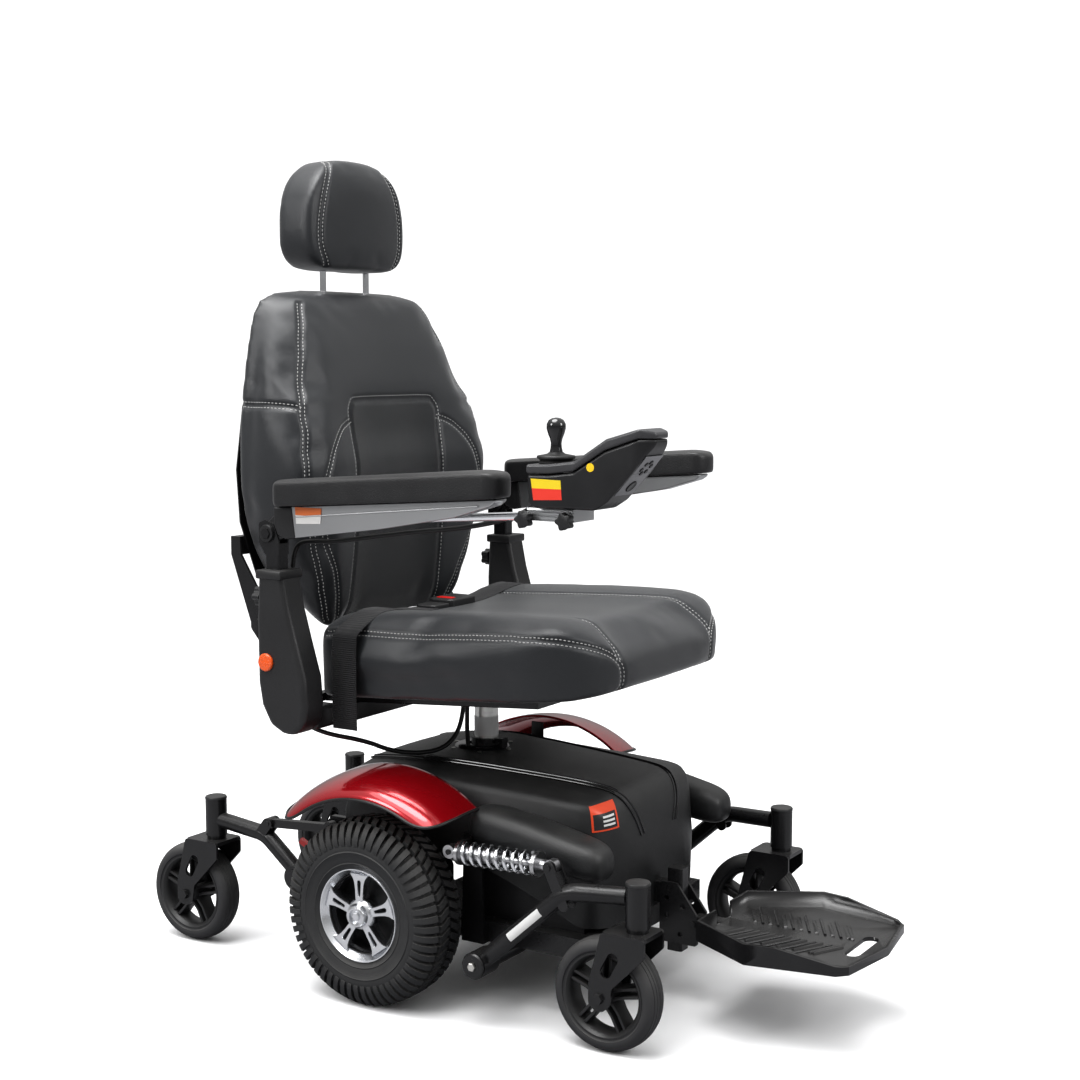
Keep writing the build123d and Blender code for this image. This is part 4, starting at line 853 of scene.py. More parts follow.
def ring_marks(nodes, links):
    """Fine turned lines round the post, one every 6 mm, as a bump."""
    place = nodes.new("ShaderNodeTexCoord")
    parts = nodes.new("ShaderNodeSeparateXYZ")
    links.new(place.outputs["Object"], parts.inputs[0])
    wave = arithmetic(nodes, links, "SINE", arithmetic(nodes, links, "MULTIPLY", parts.outputs["Z"],
                                                       2 * math.pi / 0.006), 0.0)
    return arithmetic(nodes, links, "GREATER_THAN", wave, 0.9)


post_steel = finish("post_steel", (0.62, 0.62, 0.6), 0.3, metallic=1.0, grain=0.0006, depth=0.4,
                    height=ring_marks)
post_piece = refined("seat_post", "base", post_steel, ease=0.6)
post_piece.data.materials.append(powder_black)
for face in post_piece.data.polygons:
    if max(math.hypot(post_piece.data.vertices[i].co.x, post_piece.data.vertices[i].co.y + 0.03)
           for i in face.vertices) > 0.0195:
        face.material_index = 1
post_band = turned("post_band", [(354, 18.3), (354, 18.9), (384, 18.9), (384, 18.3)], (0, -30, 0),
                   axis="z", steps=64)
new_piece("post_band", post_band, label_white, "base")
refined("seat_pan", "base", powder_black, ease=0.8)
refined("back_frame", "backrest", powder_black, ease=0.8)
refined("headrest_posts", "headrest", chrome, ease=0.4)


# ---- Seat cushion ----------------------------------------------------------------------------
# Foam under charcoal leatherette, boxed at the sides and rolled over at the front. Two bolsters
# run front to back beside a lower middle, joined by stitched seams in light grey thread.

def stuffed(name, outline, low, high, place, centre=(0, 0), inner_rings=9, high_outline=None):
    """Closed body between two faces over an outline: low and high give each face's height.
    The outline may change from the low face to the high one."""
    shares = [(0.5 + 0.485 * k / 4, 0.0) for k in range(1, 5)]
    edge = [(0.992, 0.05), (1.0, 0.16), (1.0, 0.5), (1.0, 0.82), (0.993, 0.93)]
    top = [(1 - 0.022 * 2.1 ** 0 * 1.0, 0.985)] + [(0.955 * (1 - k / inner_rings), 1.0)
                                                   for k in range(inner_rings)]
    rings = [(0.0, 0.0), (0.25, 0.0)] + shares + edge + top + [(0.0, 1.0)]
    points = []
    for share, level in rings:
        ring = []
        for (u, v), (u_high, v_high) in zip(outline, high_outline or outline):
            u, v = u + (u_high - u) * level, v + (v_high - v) * level
            uu, vv = centre[0] + (u - centre[0]) * share, centre[1] + (v - centre[1]) * share
            bottom, lid = low(uu, vv), high(uu, vv)
            ring.append(place(uu, vv, bottom + (lid - bottom) * level))
        points.append(ring)
    return lofted(name, points, capped=False)


def even_outline(points, count=140):
    """Closed smooth outline with evenly spaced points."""
    line = smooth_line([(*p, 0) for p in points], 12, closed=True)
    line.append(line[0])
    lengths = [0.0]
    for a, b in zip(line, line[1:]):
        lengths.append(lengths[-1] + (b - a).length)
    result, j = [], 0
    for k in range(count):
        target = lengths[-1] * k / count
        while lengths[j + 1] < target:
            j += 1
        t = (target - lengths[j]) / max(1e-9, lengths[j + 1] - lengths[j])
        p = line[j].lerp(line[j + 1], t)
        result.append((p.x, p.y))
    return result


def plumped(name, mesh, voxel, cap, held):
    """Even skin over a cushion's shape, swelled by cloth pressure, each point moved at most cap."""
    raw = bpy.data.objects.new(name + "_raw", mesh)
    bpy.context.scene.collection.objects.link(raw)
    skin = raw.modifiers.new("skin", "REMESH")
    skin.mode, skin.voxel_size = "VOXEL", voxel
    graph = bpy.context.evaluated_depsgraph_get()
    graph.update()
    shape = bpy.data.meshes.new_from_object(raw.evaluated_get(graph), depsgraph=graph)
    bpy.data.objects.remove(raw)
    cover = bpy.data.objects.new(name + "_cover", shape.copy())
    bpy.context.scene.collection.objects.link(cover)
    cloth = cover.modifiers.new("pressure", "CLOTH")
    cloth.settings.use_pressure = True
    cloth.settings.uniform_pressure_force = 4.0
    cloth.settings.tension_stiffness = cloth.settings.compression_stiffness = 60.0
    cloth.settings.bending_stiffness = 8.0
    cloth.settings.effector_weights.gravity = 0.0
    cloth.settings.quality = 4
    for step in range(1, 19):
        bpy.context.scene.frame_set(step)
    graph = bpy.context.evaluated_depsgraph_get()
    blown = cover.evaluated_get(graph).data
    moves = [w.co - v.co for v, w in zip(shape.vertices, blown.vertices)]
    for vertex, move in zip(shape.vertices, moves):
        reach = cap * held(vertex.co * 1000)
        if move.length > reach:
            move = move.normalized() * reach
        vertex.co = vertex.co + move
    bpy.data.objects.remove(cover)
    bpy.context.scene.frame_set(1)
    work = bmesh.new()
    work.from_mesh(shape)
    for _ in range(9):
        bmesh.ops.smooth_vert(work, verts=work.verts, factor=0.5, use_axis_x=True, use_axis_y=True,
                              use_axis_z=True)
    bmesh.ops.subdivide_edges(work, edges=work.edges, cuts=1, use_grid_fill=True, smooth=0.6)
    bmesh.ops.recalc_face_normals(work, faces=work.faces)
    work.to_mesh(shape)
    work.free()
    return shape


def surface_of(mesh):
    return BVHTree.FromPolygons([v.co.copy() for v in mesh.vertices],
                                [tuple(p.vertices) for p in mesh.polygons])


def seam_line(surface, points, spacing=0.003):
    """Points of a seam laid on the surface, in metres, with the surface's normals."""
    line, result = smooth_line(points, 24), []
    last = None
    for p in line:
        spot, normal, _, _ = surface.find_nearest(p / 1000)
        if last is None or (spot - last).length >= spacing:
            result.append((spot, normal))
            last = spot
    return result


def sew(mesh, seams, depth, width):
    """Pulls the cover in along its seams."""
    spots = [spot for seam in seams for spot, _ in seam]
    tree = KDTree(len(spots))
    for i, spot in enumerate(spots):
        tree.insert(spot, i)
    tree.balance()
    normals = [v.normal.copy() for v in mesh.vertices]
    for vertex, normal in zip(mesh.vertices, normals):
        _, _, distance = tree.find(vertex.co)
        if distance < width:
            share = distance / width
            vertex.co -= normal * depth * (1 - share * share) ** 2


# a row of stitches along a line of edges
stitch_tree, stitch_in, stitch_out = geometry_tree("row_of_stitches", (
    ("Pitch", "Float", 0.006), ("Length", "Float", 0.004), ("Thread", "Float", 0.0007),
    ("Finish", "Material", None)))
stitch_nodes, stitch_links = stitch_tree.nodes, stitch_tree.links
to_curve = stitch_nodes.new("GeometryNodeMeshToCurve")
stitch_links.new(stitch_in.outputs["Geometry"], to_curve.inputs[0])
spaced = stitch_nodes.new("GeometryNodeResampleCurve")
spaced.mode = "LENGTH"
stitch_links.new(to_curve.outputs[0], spaced.inputs["Curve"])
stitch_links.new(stitch_in.outputs["Pitch"], spaced.inputs["Length"])
ball = stitch_nodes.new("GeometryNodeMeshUVSphere")
ball.inputs["Segments"].default_value, ball.inputs["Rings"].default_value = 6, 4
ball.inputs["Radius"].default_value = 1.0
sizes = stitch_nodes.new("ShaderNodeCombineXYZ")
stitch_links.new(arithmetic(stitch_nodes, stitch_links, "MULTIPLY", stitch_in.outputs["Length"], 0.5),
                 sizes.inputs["X"])
stitch_links.new(stitch_in.outputs["Thread"], sizes.inputs["Y"])
stitch_links.new(stitch_in.outputs["Thread"], sizes.inputs["Z"])
stretched = stitch_nodes.new("GeometryNodeTransform")
stitch_links.new(ball.outputs[0], stretched.inputs["Geometry"])
stitch_links.new(sizes.outputs[0], stretched.inputs["Scale"])
tangent = stitch_nodes.new("GeometryNodeInputTangent")
facing = stitch_nodes.new("FunctionNodeAlignRotationToVector")
facing.axis = "X"
stitch_links.new(tangent.outputs[0], facing.inputs["Vector"])
sewn = stitch_nodes.new("GeometryNodeInstanceOnPoints")
stitch_links.new(spaced.outputs[0], sewn.inputs["Points"])
stitch_links.new(stretched.outputs[0], sewn.inputs["Instance"])
stitch_links.new(facing.outputs[0], sewn.inputs["Rotation"])
sewn_real = stitch_nodes.new("GeometryNodeRealizeInstances")
stitch_links.new(sewn.outputs[0], sewn_real.inputs[0])
sewn_coat = stitch_nodes.new("GeometryNodeSetMaterial")
stitch_links.new(sewn_real.outputs[0], sewn_coat.inputs["Geometry"])
stitch_links.new(stitch_in.outputs["Finish"], sewn_coat.inputs["Material"])
stitch_links.new(sewn_coat.outputs[0], stitch_out.inputs[0])

thread_grey = finish("thread_grey", (0.5, 0.5, 0.49), 0.7, grain=0.0004, depth=0.2, variation=0.1)


def stitches(name, surface, seams, body, offsets=(-0.0028, 0.0028)):
    """Rows of light thread beside each seam."""
    rows = []
    for seam in seams:
        for offset in offsets:
            points = []
            for i, (spot, normal) in enumerate(seam):
                ahead = seam[min(i + 1, len(seam) - 1)][0] - seam[max(i - 1, 0)][0]
                sideways = normal.cross(ahead).normalized()
                near, face, _, _ = surface.find_nearest(spot + sideways * offset)
                points.append(near + face * 0.0002)
            row = bpy.data.meshes.new("row")
            row.from_pydata([tuple(p) for p in points], [(i, i + 1) for i in range(len(points) - 1)], [])
            rows.append(grown(stitch_tree, row, Finish=thread_grey))
    return new_piece(name, joined(name, *rows), thread_grey, body, crease=80)


# pebbled leatherette: small irregular cells with fine creases between them
cell_group, cell_in, cell_out = socket_group("leather_cells", (("Cell", 0.0014),), ("Height",))
cell_place = cell_group.nodes.new("ShaderNodeTexCoord")
cells = cell_group.nodes.new("ShaderNodeTexVoronoi")
cells.feature = "DISTANCE_TO_EDGE"
cell_group.links.new(cell_place.outputs["Object"], cells.inputs["Vector"])
cell_group.links.new(arithmetic(cell_group.nodes, cell_group.links, "DIVIDE", 1.0,
                                cell_in.outputs["Cell"]), cells.inputs["Scale"])
creases = cell_group.nodes.new("ShaderNodeMapRange")
creases.inputs["From Max"].default_value = 0.25
cell_group.links.new(cells.outputs["Distance"], creases.inputs["Value"])
cell_group.links.new(creases.outputs[0], cell_out.inputs["Height"])


def leather_height(nodes, links):
    return use_group(nodes, cell_group, Cell=0.0013).outputs["Height"]


leatherette = finish("leatherette", (0.020, 0.0215, 0.024), 0.34, grain=0.0009, depth=0.16, cloud=0.09,
                     variation=0.12, sheen=0.25, specular=0.5, height=leather_height)


# woven upholstery cloth for the middle panel: over-and-under yarns
weave_group, weave_in, weave_out = socket_group("cloth_weave", (("Yarn", 0.0016),), ("Height",))
weave_place = weave_group.nodes.new("ShaderNodeTexCoord")
weave_axes = weave_group.nodes.new("ShaderNodeSeparateXYZ")
weave_group.links.new(weave_place.outputs["Object"], weave_axes.inputs[0])
frequency = arithmetic(weave_group.nodes, weave_group.links, "DIVIDE", 2 * math.pi,
                       weave_in.outputs["Yarn"])
waves = [arithmetic(weave_group.nodes, weave_group.links, "SINE", arithmetic(
    weave_group.nodes, weave_group.links, "MULTIPLY", weave_axes.outputs[a], frequency), 0.0)
    for a in ("X", "Z")]
weave_group.links.new(arithmetic(weave_group.nodes, weave_group.links, "MULTIPLY", *waves),
                      weave_out.inputs["Height"])
woven_cloth = finish("woven_cloth", (0.015, 0.016, 0.018), 0.8, grain=0.0014, depth=0.5, variation=0.2,
                     sheen=0.3, specular=0.25,
                     height=lambda n, l: use_group(n, weave_group, Yarn=0.0022).outputs["Height"])

seat_half = [(120, -358), (186, -338), (229, -290), (247, -218), (250, -100), (250, 30), (248, 90),
             (230, 108), (120, 110)]
seat_plan = even_outline([(0, -362)] + seat_half + [(0, 110)] + [(-x, y) for x, y in reversed(seat_half)])


def seat_low(x, y):
    lift = max(0.0, (-y - 300) / 62)
    return 445.4 - 0.07 * y + 12 * lift ** 2


def seat_high(x, y):
    front = max(0.0, (-y - 250) / 112)
    crown = 549 + 15 * math.sin(math.pi * min(1, max(0, (70 - y) / 430)) * 0.62) - 44 * front ** 3
    side = min(1, abs(x) / 250)
    valley = -9 * math.exp(-(x / 120) ** 4) * (1 - min(1, front * 1.2))
    bolster = 5 * math.exp(-((abs(x) - 185) / 55) ** 2)
    return crown + valley + bolster - 9 * max(0, side - 0.86) / 0.14


seat_shape = stuffed("seat", seat_plan, seat_low, seat_high, lambda u, v, w: (u, v, w),
                     centre=(0, -130))
seat_mesh = plumped("seat", seat_shape, 0.0065, 0.009,
                    lambda p: min(1.0, max(0.0, (p.z - (449 - 0.07 * p.y)) / 25)))
seat_skin = surface_of(seat_mesh)
seat_seams = []
for side in (1, -1):
    seat_seams.append(seam_line(seat_skin, [
        (side * 252, 96, 541), (side * 252, 40, 549), (side * 252, -100, 557), (side * 250, -220, 561),
        (side * 234, -282, 556), (side * 194, -328, 545), (side * 160, -346, 533),
        (side * 142, -356, 516), (side * 138, -364, 492), (side * 138, -356, 462)]))
    seat_seams.append(seam_line(seat_skin, [
        (side * 142, -352, 524), (side * 138, -325, 548), (side * 132, -270, 560), (side * 124, -150, 560),
        (side * 122, -30, 556), (side * 124, 70, 548)]))
sew(seat_mesh, seat_seams, 0.0035, 0.009)
seat_cover = new_piece("seat_cushion_cover", seat_mesh, leatherette, "base", "seat_cushion",
                       slot="seat_vinyl", crease=80)
stitches("seat_stitches", surface_of(seat_mesh), seat_seams, "base")


# ---- Backrest --------------------------------------------------------------------------------
# High captain's back: leatherette over moulded foam, with deep side panels, a shoulder seam,
# curved bolster seams and a woven middle panel.

back_half = [(100, 509), (164, 514), (190, 552), (228, 664), (240, 712), (246, 770), (236, 850), (216, 905),
             (186, 985), (166, 1026), (140, 1042), (70, 1047)]
back_rear_half = [(100, 596), (168, 600), (204, 630), (232, 684), (242, 722), (247, 770), (243, 850),
                  (236, 905), (220, 985), (204, 1024), (176, 1043), (88, 1048)]
back_plan = even_outline([(0, 508)] + back_half + [(0, 1048)] + [(-x, z) for x, z in reversed(back_half)], 150)
back_rear_plan = even_outline([(0, 596)] + back_rear_half + [(0, 1048)]
                              + [(-x, z) for x, z in reversed(back_rear_half)], 150)


def back_front(x, z):
    heights = [(508, 150), (590, 140), (640, 134), (700, 128), (780, 128), (880, 148), (960, 172), (1030, 198), (1060, 208)]
    for (z0, y0), (z1, y1) in zip(heights, heights[1:]):
        if z <= z1:
            break
    t = min(1, max(0, (z - z0) / (z1 - z0)))
    front = y0 + (y1 - y0) * t
    low = 1 - min(1, max(0, (z - 820) / 80))
    dish = 20 * math.exp(-(x / 128) ** 4) * low + 8 * math.exp(-(x / 150) ** 2) * (1 - low)
    return front + dish - 4 * math.exp(-((abs(x) - 190) / 40) ** 2) * low


def back_rear(x, z):
    return 259 - 12 * max(0, (z - 1020) / 30) if z > 1020 else 259


back_shape = stuffed("back", back_rear_plan, back_rear, back_front, lambda u, v, w: (u, w, v),
                     centre=(0, 820), high_outline=back_plan)
back_mesh = plumped("back", back_shape, 0.0065, 0.009,
                    lambda p: min(1.0, max(0.0, (254 - p.y) / 30)))
back_skin = surface_of(back_mesh)
back_seams, insert_half, insert_top = [], 116, 872
for side in (1, -1):
    back_seams.append(seam_line(back_skin, [
        (side * 172, 144, 526), (side * 194, 138, 590), (side * 220, 128, 660), (side * 236, 124, 740), (side * 234, 128, 810),
        (side * 222, 142, 866), (side * 204, 160, 920), (side * 176, 184, 985), (side * 158, 200, 1026)]))
    back_seams.append(seam_line(back_skin, [
        (side * 224, 144, 866), (side * 236, 175, 867), (side * 238, 215, 868), (side * 237, 256, 869)]))
    back_seams.append(seam_line(back_skin, [
        (side * insert_half, 150, 842), (side * 150, 140, 828), (side * 186, 128, 790), (side * 206, 124, 730),
        (side * 196, 128, 670), (side * 168, 134, 610), (side * 142, 144, 530)]))
insert_seam = seam_line(back_skin, [
    (-insert_half, 150, 530), (-insert_half, 150, 700), (-insert_half, 150, 800), (-insert_half, 150, 850),
    (-108, 155, 867), (-92, 160, 873), (0, 160, 874), (92, 160, 873), (108, 155, 867),
    (insert_half, 150, 850), (insert_half, 150, 800), (insert_half, 150, 700), (insert_half, 150, 530)])
sew(back_mesh, back_seams + [insert_seam], 0.0035, 0.009)
back_cover = new_piece("back_cushion_cover", back_mesh, leatherette, "backrest", "back_cushion",
                       slot="seat_vinyl", crease=80)
back_mesh.materials.append(woven_cloth)
for face in back_mesh.polygons:
    x, y, z = (c * 1000 for c in face.center)
    corner = max(0, abs(x) - 96) ** 2 + max(0, z - 853) ** 2
    if y < 225 and abs(x) < insert_half and z < insert_top and corner < 20.5 ** 2 and z > 525:
        face.material_index = 1
stitches("back_stitches", surface_of(back_mesh), back_seams, "backrest")
stitches("insert_stitches", surface_of(back_mesh), [insert_seam], "backrest", offsets=(0.0032,))


# ---- Headrest --------------------------------------------------------------------------------
# D-shaped padded headrest on two chrome posts, its side panels set off by a stitched piping.

head_half = [(64, 1076), (100, 1082), (120, 1103), (125, 1138), (119, 1180), (99, 1216), (68, 1240), (31, 1247)]
head_plan = even_outline([(0, 1076)] + head_half + [(0, 1248)] + [(-x, z) for x, z in reversed(head_half)], 110)
head_shape = stuffed("head", head_plan,
                     lambda x, z: 286 - 10 * (x / 115) ** 2 - 14 * max(0, (z - 1190) / 58) ** 2,
                     lambda x, z: 199 + 10 * (x / 115) ** 2 + 16 * max(0, (z - 1190) / 58) ** 2,
                     lambda u, v, w: (u, w, v), centre=(0, 1160))
head_mesh = plumped("head", head_shape, 0.005, 0.006,
                    lambda p: min(1.0, max(0.15, (p.z - 1076) / 25)))
head_skin = surface_of(head_mesh)
head_seams = [seam_line(head_skin, [
    (side * 84, 210, 1082), (side * 100, 200, 1108), (side * 103, 197, 1142), (side * 96, 199, 1180),
    (side * 82, 208, 1212), (side * 62, 224, 1236), (side * 50, 244, 1248), (side * 52, 270, 1246)])
    for side in (1, -1)]
sew(head_mesh, head_seams, 0.0035, 0.008)
head_cover = new_piece("headrest_cover", head_mesh, leatherette, "headrest", "headrest_cushion",
                       slot="seat_vinyl", crease=80)
stitches("headrest_stitches", surface_of(head_mesh), head_seams, "headrest", offsets=(-0.003, 0.003))


# ---- Armrest sockets, posts and knobs --------------------------------------------------------
# Black moulded sockets that turn in to the seat frame at their foot, steel posts inside, a star
# knob behind each, and a round orange reflector on each outer face.

moulded_black = finish("moulded_black", (0.016, 0.016, 0.017), 0.36, grain=0.0012, depth=0.2,
                       variation=0.2, dust=0.06)
socket_outline = [(151, 629), (154.5, 560), (154, 470), (148, 436), (132, 408), (108, 396),
                  (86, 397), (69, 412), (65, 440), (68, 480), (84, 532), (98, 580), (108, 629)]
socket_body = prism("socket", socket_outline, "x", 278, 325, 9.0, 4)
elbow = prism("elbow", [(73, 400), (112, 400), (112, 433), (73, 433)], "x", 240, 290, 6.0)
pair("arm_socket", joined("socket", socket_body, elbow), moulded_black, "base", "arm_sleeve_{}",
     slot="moulded_black", crease=30, eased=True)
mouth = prism("mouth", [(106, 621), (153, 621), (153, 634), (106, 634)], "x", 276, 327, 2.5, 2)
pair("socket_mouth", mouth, hub_black, "base", crease=30)
reflector_orange = finish("reflector_orange", (0.75, 0.10, 0.008), 0.18, grain=0.003, depth=0.6, coat=0.5)
reflector = turned("reflector", [(324, 0), (324, 13), (327.5, 13), (329, 11.5), (329.6, 6), (329.8, 0)],
                   (0, 136, 500), closed=False, steps=48)
pair("reflector", reflector, reflector_orange, "base")
for side in ("left", "right"):
    refined(f"arm_post_{side}", f"arm_post_{side}", powder_black, ease=0.7)
    refined(f"arm_knob_{side}", f"arm_knob_{side}", moulded_black, ease=1.0)


# ---- Armrest rails and pads ------------------------------------------------------------------
# Satin aluminium rails, deepest at the hinge and tapered to the front, with a black end cap,
# under soft black moulded pads.

satin_rail = finish("satin_rail", (0.45, 0.455, 0.46), 0.33, metallic=0.9, grain=0.0005, depth=0.08,
                    cloud=0.2, variation=0.08)
pad_under = lambda y: 735 - 0.07 * y
rail_outline = [(106, pad_under(106) - 1), (106, 688), (96, 681), (-60, 702), (-186, 724), (-246, 742),
                (-254, 748), (-254, pad_under(-254) - 1)]
rail_mesh = prism("rail", rail_outline, "x", 285, 315, 2.4)
pair("arm_rail_body", rail_mesh, satin_rail, "armrest_{}", "arm_rail_{}", slot="rail_silver",
     crease=30, eased=True)
rail_cap = prism("rail_cap", [(126, pad_under(126) - 1), (126, 700), (120, 686), (104, 679),
                              (86, 682), (92, pad_under(92) - 1)], "x", 283.6, 316.4, 3.0)
hinge_boss = turned("boss", [(285, 0), (285, 12), (287, 13), (313, 13), (315, 12), (315, 0)],
                    (0, 142, 686), closed=False, steps=48)
hinge_arm = prism("arm", [(150, 676), (152, 694), (128, 716), (108, 716), (108, 682), (130, 674)],
                  "x", 291, 309, 2.0)
pair("arm_rail_cap", joined("cap", rail_cap, hinge_boss, hinge_arm), moulded_black, "armrest_{}",
     crease=30, eased=True)
rib_line = wire("rib", [(316, y, 0.5 * (pad_under(y) - 1) + 0.5 * (702 - 0.115 * (y + 60)) + 6)
                        for y in range(84, -240, -12)], 1.2, 8)
pair("arm_rail_rib", rib_line, satin_rail, "armrest_{}")

pad_soft = finish("pad_soft", (0.012, 0.012, 0.013), 0.34, grain=0.0016, depth=0.3, variation=0.2,
                  sheen=0.1, dust=0.08)
pad_half = [(19, -260), (28, -244), (29, -190), (29, 0), (29, 90), (27, 114), (15, 122)]
pad_plan = even_outline([(303, -265)] + [(303 + x, y) for x, y in pad_half] + [(303, 123)]
                        + [(303 - x, y) for x, y in reversed(pad_half)], 120)


def pad_top(x, y):
    share = min(1, abs(x - 303) / 29)
    lift = 765 + 28 * (114 - y) / 384
    return lift - 5 * share ** 3 - 10 * max(0, (-y - 239) / 26) ** 2


pad_mesh = stuffed("pad", pad_plan, lambda x, y: pad_under(y), pad_top, lambda u, v, w: (u, v, w),
                   centre=(303, -84))
pads = pair("arm_pad_cover", pad_mesh, pad_soft, "armrest_{}", "arm_pad_{}", slot="pad_urethane",
            crease=70)
for pad in pads:
    even = pad.modifiers.new("even", "SUBSURF")
    even.levels = even.render_levels = 2
rail_label = label_material("label_white_orange", (0.74, 0.2, 0.06), (0.75, 0.74, 0.72), 0.7155)
label("rail_label_right", [(-316, 84, 703), (-316, 40, 705), (-316, 38, 727), (-316, 86, 727)][::-1],
      rail_label, "armrest_right", 0.7)


# ---- Joystick mount --------------------------------------------------------------------------
# Bright steel rod clamped along the rail, a ribbed aluminium clamp block, and two star knobs.

def star(name, centre, radius, depth_from, depth_to, axis, lobes=5):
    """Moulded star knob with rounded lobes."""
    outline = []
    for k in range(60):
        a = 2 * math.pi * k / 60
        r = radius * (0.86 + 0.14 * math.cos(lobes * a))
        outline.append((centre[0] + r * math.cos(a), centre[1] + r * math.sin(a)))
    return prism(name, outline, axis, depth_from, depth_to, 1.6, 2)


def set_on(mesh, origin, normal):
    """Puts a mesh drawn on the XY plane at the origin onto a face, points in millimetres."""
    turn = Vector((0, 0, 1)).rotation_difference(Vector(normal)).to_matrix().to_4x4()
    mesh.transform(Matrix.Translation(Vector(origin) / 1000) @ turn)
    return mesh


rod_top, rod_front = Vector((-271.5, -70, 713.5)), Vector((-271.5, -372, 734.6))
rod = wire("rod", [rod_top.lerp(rod_front, k / 8) for k in range(9)], 6, 24)
new_piece("joystick_rod", rod, chrome, "joystick_module", "joystick_mount", slot="post_steel")
ribbed = [(-262, 727), (-262, 743.4), (-315, 743.4), (-315.6, 741), (-313.8, 740), (-313.8, 739),
          (-315.6, 738), (-315.6, 735.4), (-313.8, 734.6), (-313.8, 733.6), (-315.6, 732.6),
          (-315.6, 730), (-313.8, 729.2), (-313.8, 728.2), (-315, 727)]
clamp_block = prism("clamp", ribbed, "y", -375, -305)
new_piece("joystick_clamp", clamp_block, satin_rail, "joystick_module", crease=25)
knobs = [star("knob", (y, 729), 12, -331, -319, "x") for y in (-306, -368)]
knobs += [turned("stub", [(-320, 0), (-320, 5), (-314, 5), (-314, 0)], (0, y, 729), closed=False, steps=24)
          for y in (-306, -368)]
new_piece("joystick_mount_knobs", joined("knobs", *knobs), moulded_black, "joystick_module", crease=30)


# ---- Joystick control box --------------------------------------------------------------------
# Two-part moulded box raised at the front: a satin grey-black lid over a black body, a grey
# keypad with black keys on the slanted face, a rubber boot and a gloss knob.

lid_shell = finish("lid_shell", (0.05, 0.05, 0.053), 0.3, grain=0.0009, depth=0.12, variation=0.12)
body_shell = finish("body_shell", (0.013, 0.013, 0.014), 0.3, grain=0.001, depth=0.1)
key_grey = finish("key_grey", (0.2, 0.2, 0.21), 0.45, grain=0.0008, depth=0.1, variation=0.08)
gloss_knob = finish("gloss_knob", (0.008, 0.008, 0.009), 0.1, grain=0.0006, depth=0.01, coat=0.6)
boot_rubber = finish("boot_rubber", (0.014, 0.014, 0.014), 0.5, grain=0.001, depth=0.2)
lid_outline = [(-311, 801), (-311.4, 789), (-346, 789.6), (-382, 794), (-428, 822), (-476, 838),
               (-497, 838), (-496, 846), (-478, 850.5), (-430, 836.5), (-384, 807), (-346, 802.4)]
body_outline = [(-312.4, 788), (-314, 750), (-322, 745), (-413, 745), (-432, 757), (-466, 793),
                (-494.6, 829), (-496, 837), (-476, 837), (-428, 821), (-382, 793), (-346, 788.6)]


def rounded_nose(mesh, centre_x, start):
    """Draws the sides of the box in towards its nose, in millimetres."""
    for vertex in mesh.vertices:
        ahead = max(0.0, (-vertex.co.y * 1000 - start) / (497 - start))
        if ahead > 0:
            narrow = math.sqrt(max(0.0, 1 - 0.8 * min(1.0, ahead) ** 2))
            vertex.co.x = (centre_x + (vertex.co.x * 1000 - centre_x) * narrow) / 1000


def box_part(name, outline, half, ease):
    """Outline cut into thin slices along the box, so that its nose can be rounded in plan."""
    mesh = prism(name, outline, "x", -300 - half, -300 + half, ease, 3)
    work = bmesh.new()
    work.from_mesh(mesh)
    for y in range(-494, -462, 4):
        bmesh.ops.bisect_plane(work, geom=work.verts[:] + work.edges[:] + work.faces[:],
                               plane_co=(0, y / 1000, 0), plane_no=(0, 1, 0))
    work.to_mesh(mesh)
    work.free()
    rounded_nose(mesh, -300, 466)
    return mesh


lid_part = box_part("lid", lid_outline, 30, 3.6)
new_piece("joystick_lid", lid_part, lid_shell, "joystick_module", "joystick_housing",
          slot="control_black", crease=30, eased=True)
body_part = box_part("body", body_outline, 29, 5.0)
new_piece("joystick_body", body_part, body_shell, "joystick_module", "joystick_housing",
          slot="control_black", crease=30, eased=True)
slant_normal = Vector((0, -0.745, -0.667))
slant_from, slant_to = Vector((-300, -432, 757)), Vector((-300, -492, 824))
pad_points = [slant_from.lerp(slant_to, t) + Vector((x, 0, 0)) + slant_normal * 0.1
              for t, x in ((0.12, -23), (0.88, -22), (0.88, 22), (0.12, 23))]
keypad = lofted("keypad", [pad_points, [p + slant_normal * 1.2 for p in pad_points]])
ease_edges(keypad, 0.5, 30)
new_piece("joystick_keypad", keypad, key_grey, "joystick_module", crease=30)
key_seed = turned("key", [(0, 0), (0, 3.4), (1.2, 3.4), (1.8, 2.7), (1.8, 0)], (9.5, 0, 0), axis="z",
                  closed=False, steps=16)
wide_key = turned("key", [(0, 0), (0, 9), (1.4, 9), (2.0, 8), (1.4, 6.6), (1.4, 0)], (0, 0, 0), axis="z",
                  closed=False, steps=32)
keys = [set_on(grown(ring_tree, key_seed, Count=6, First_angle=0.3, Axis=(0, 0, 1), Centre=(0, 0, 0),
                     Finish=body_shell), slant_from.lerp(slant_to, 0.66) + slant_normal, slant_normal),
        set_on(wide_key, slant_from.lerp(slant_to, 0.3) + slant_normal, slant_normal)]
new_piece("joystick_keys", joined("keys", *keys), body_shell, "joystick_module", crease=30)
boot = turned("boot", [(800, 0), (800, 21), (803, 23), (805.4, 21.2), (807, 22), (808.6, 25), (810.6, 25.4),
                       (812, 24.4), (813, 19), (814.4, 12), (816.4, 9.4), (816.4, 0)],
              (-300, -340, 0), axis="z", closed=False, steps=64)
new_piece("joystick_boot", boot, boot_rubber, "joystick_module", crease=50)
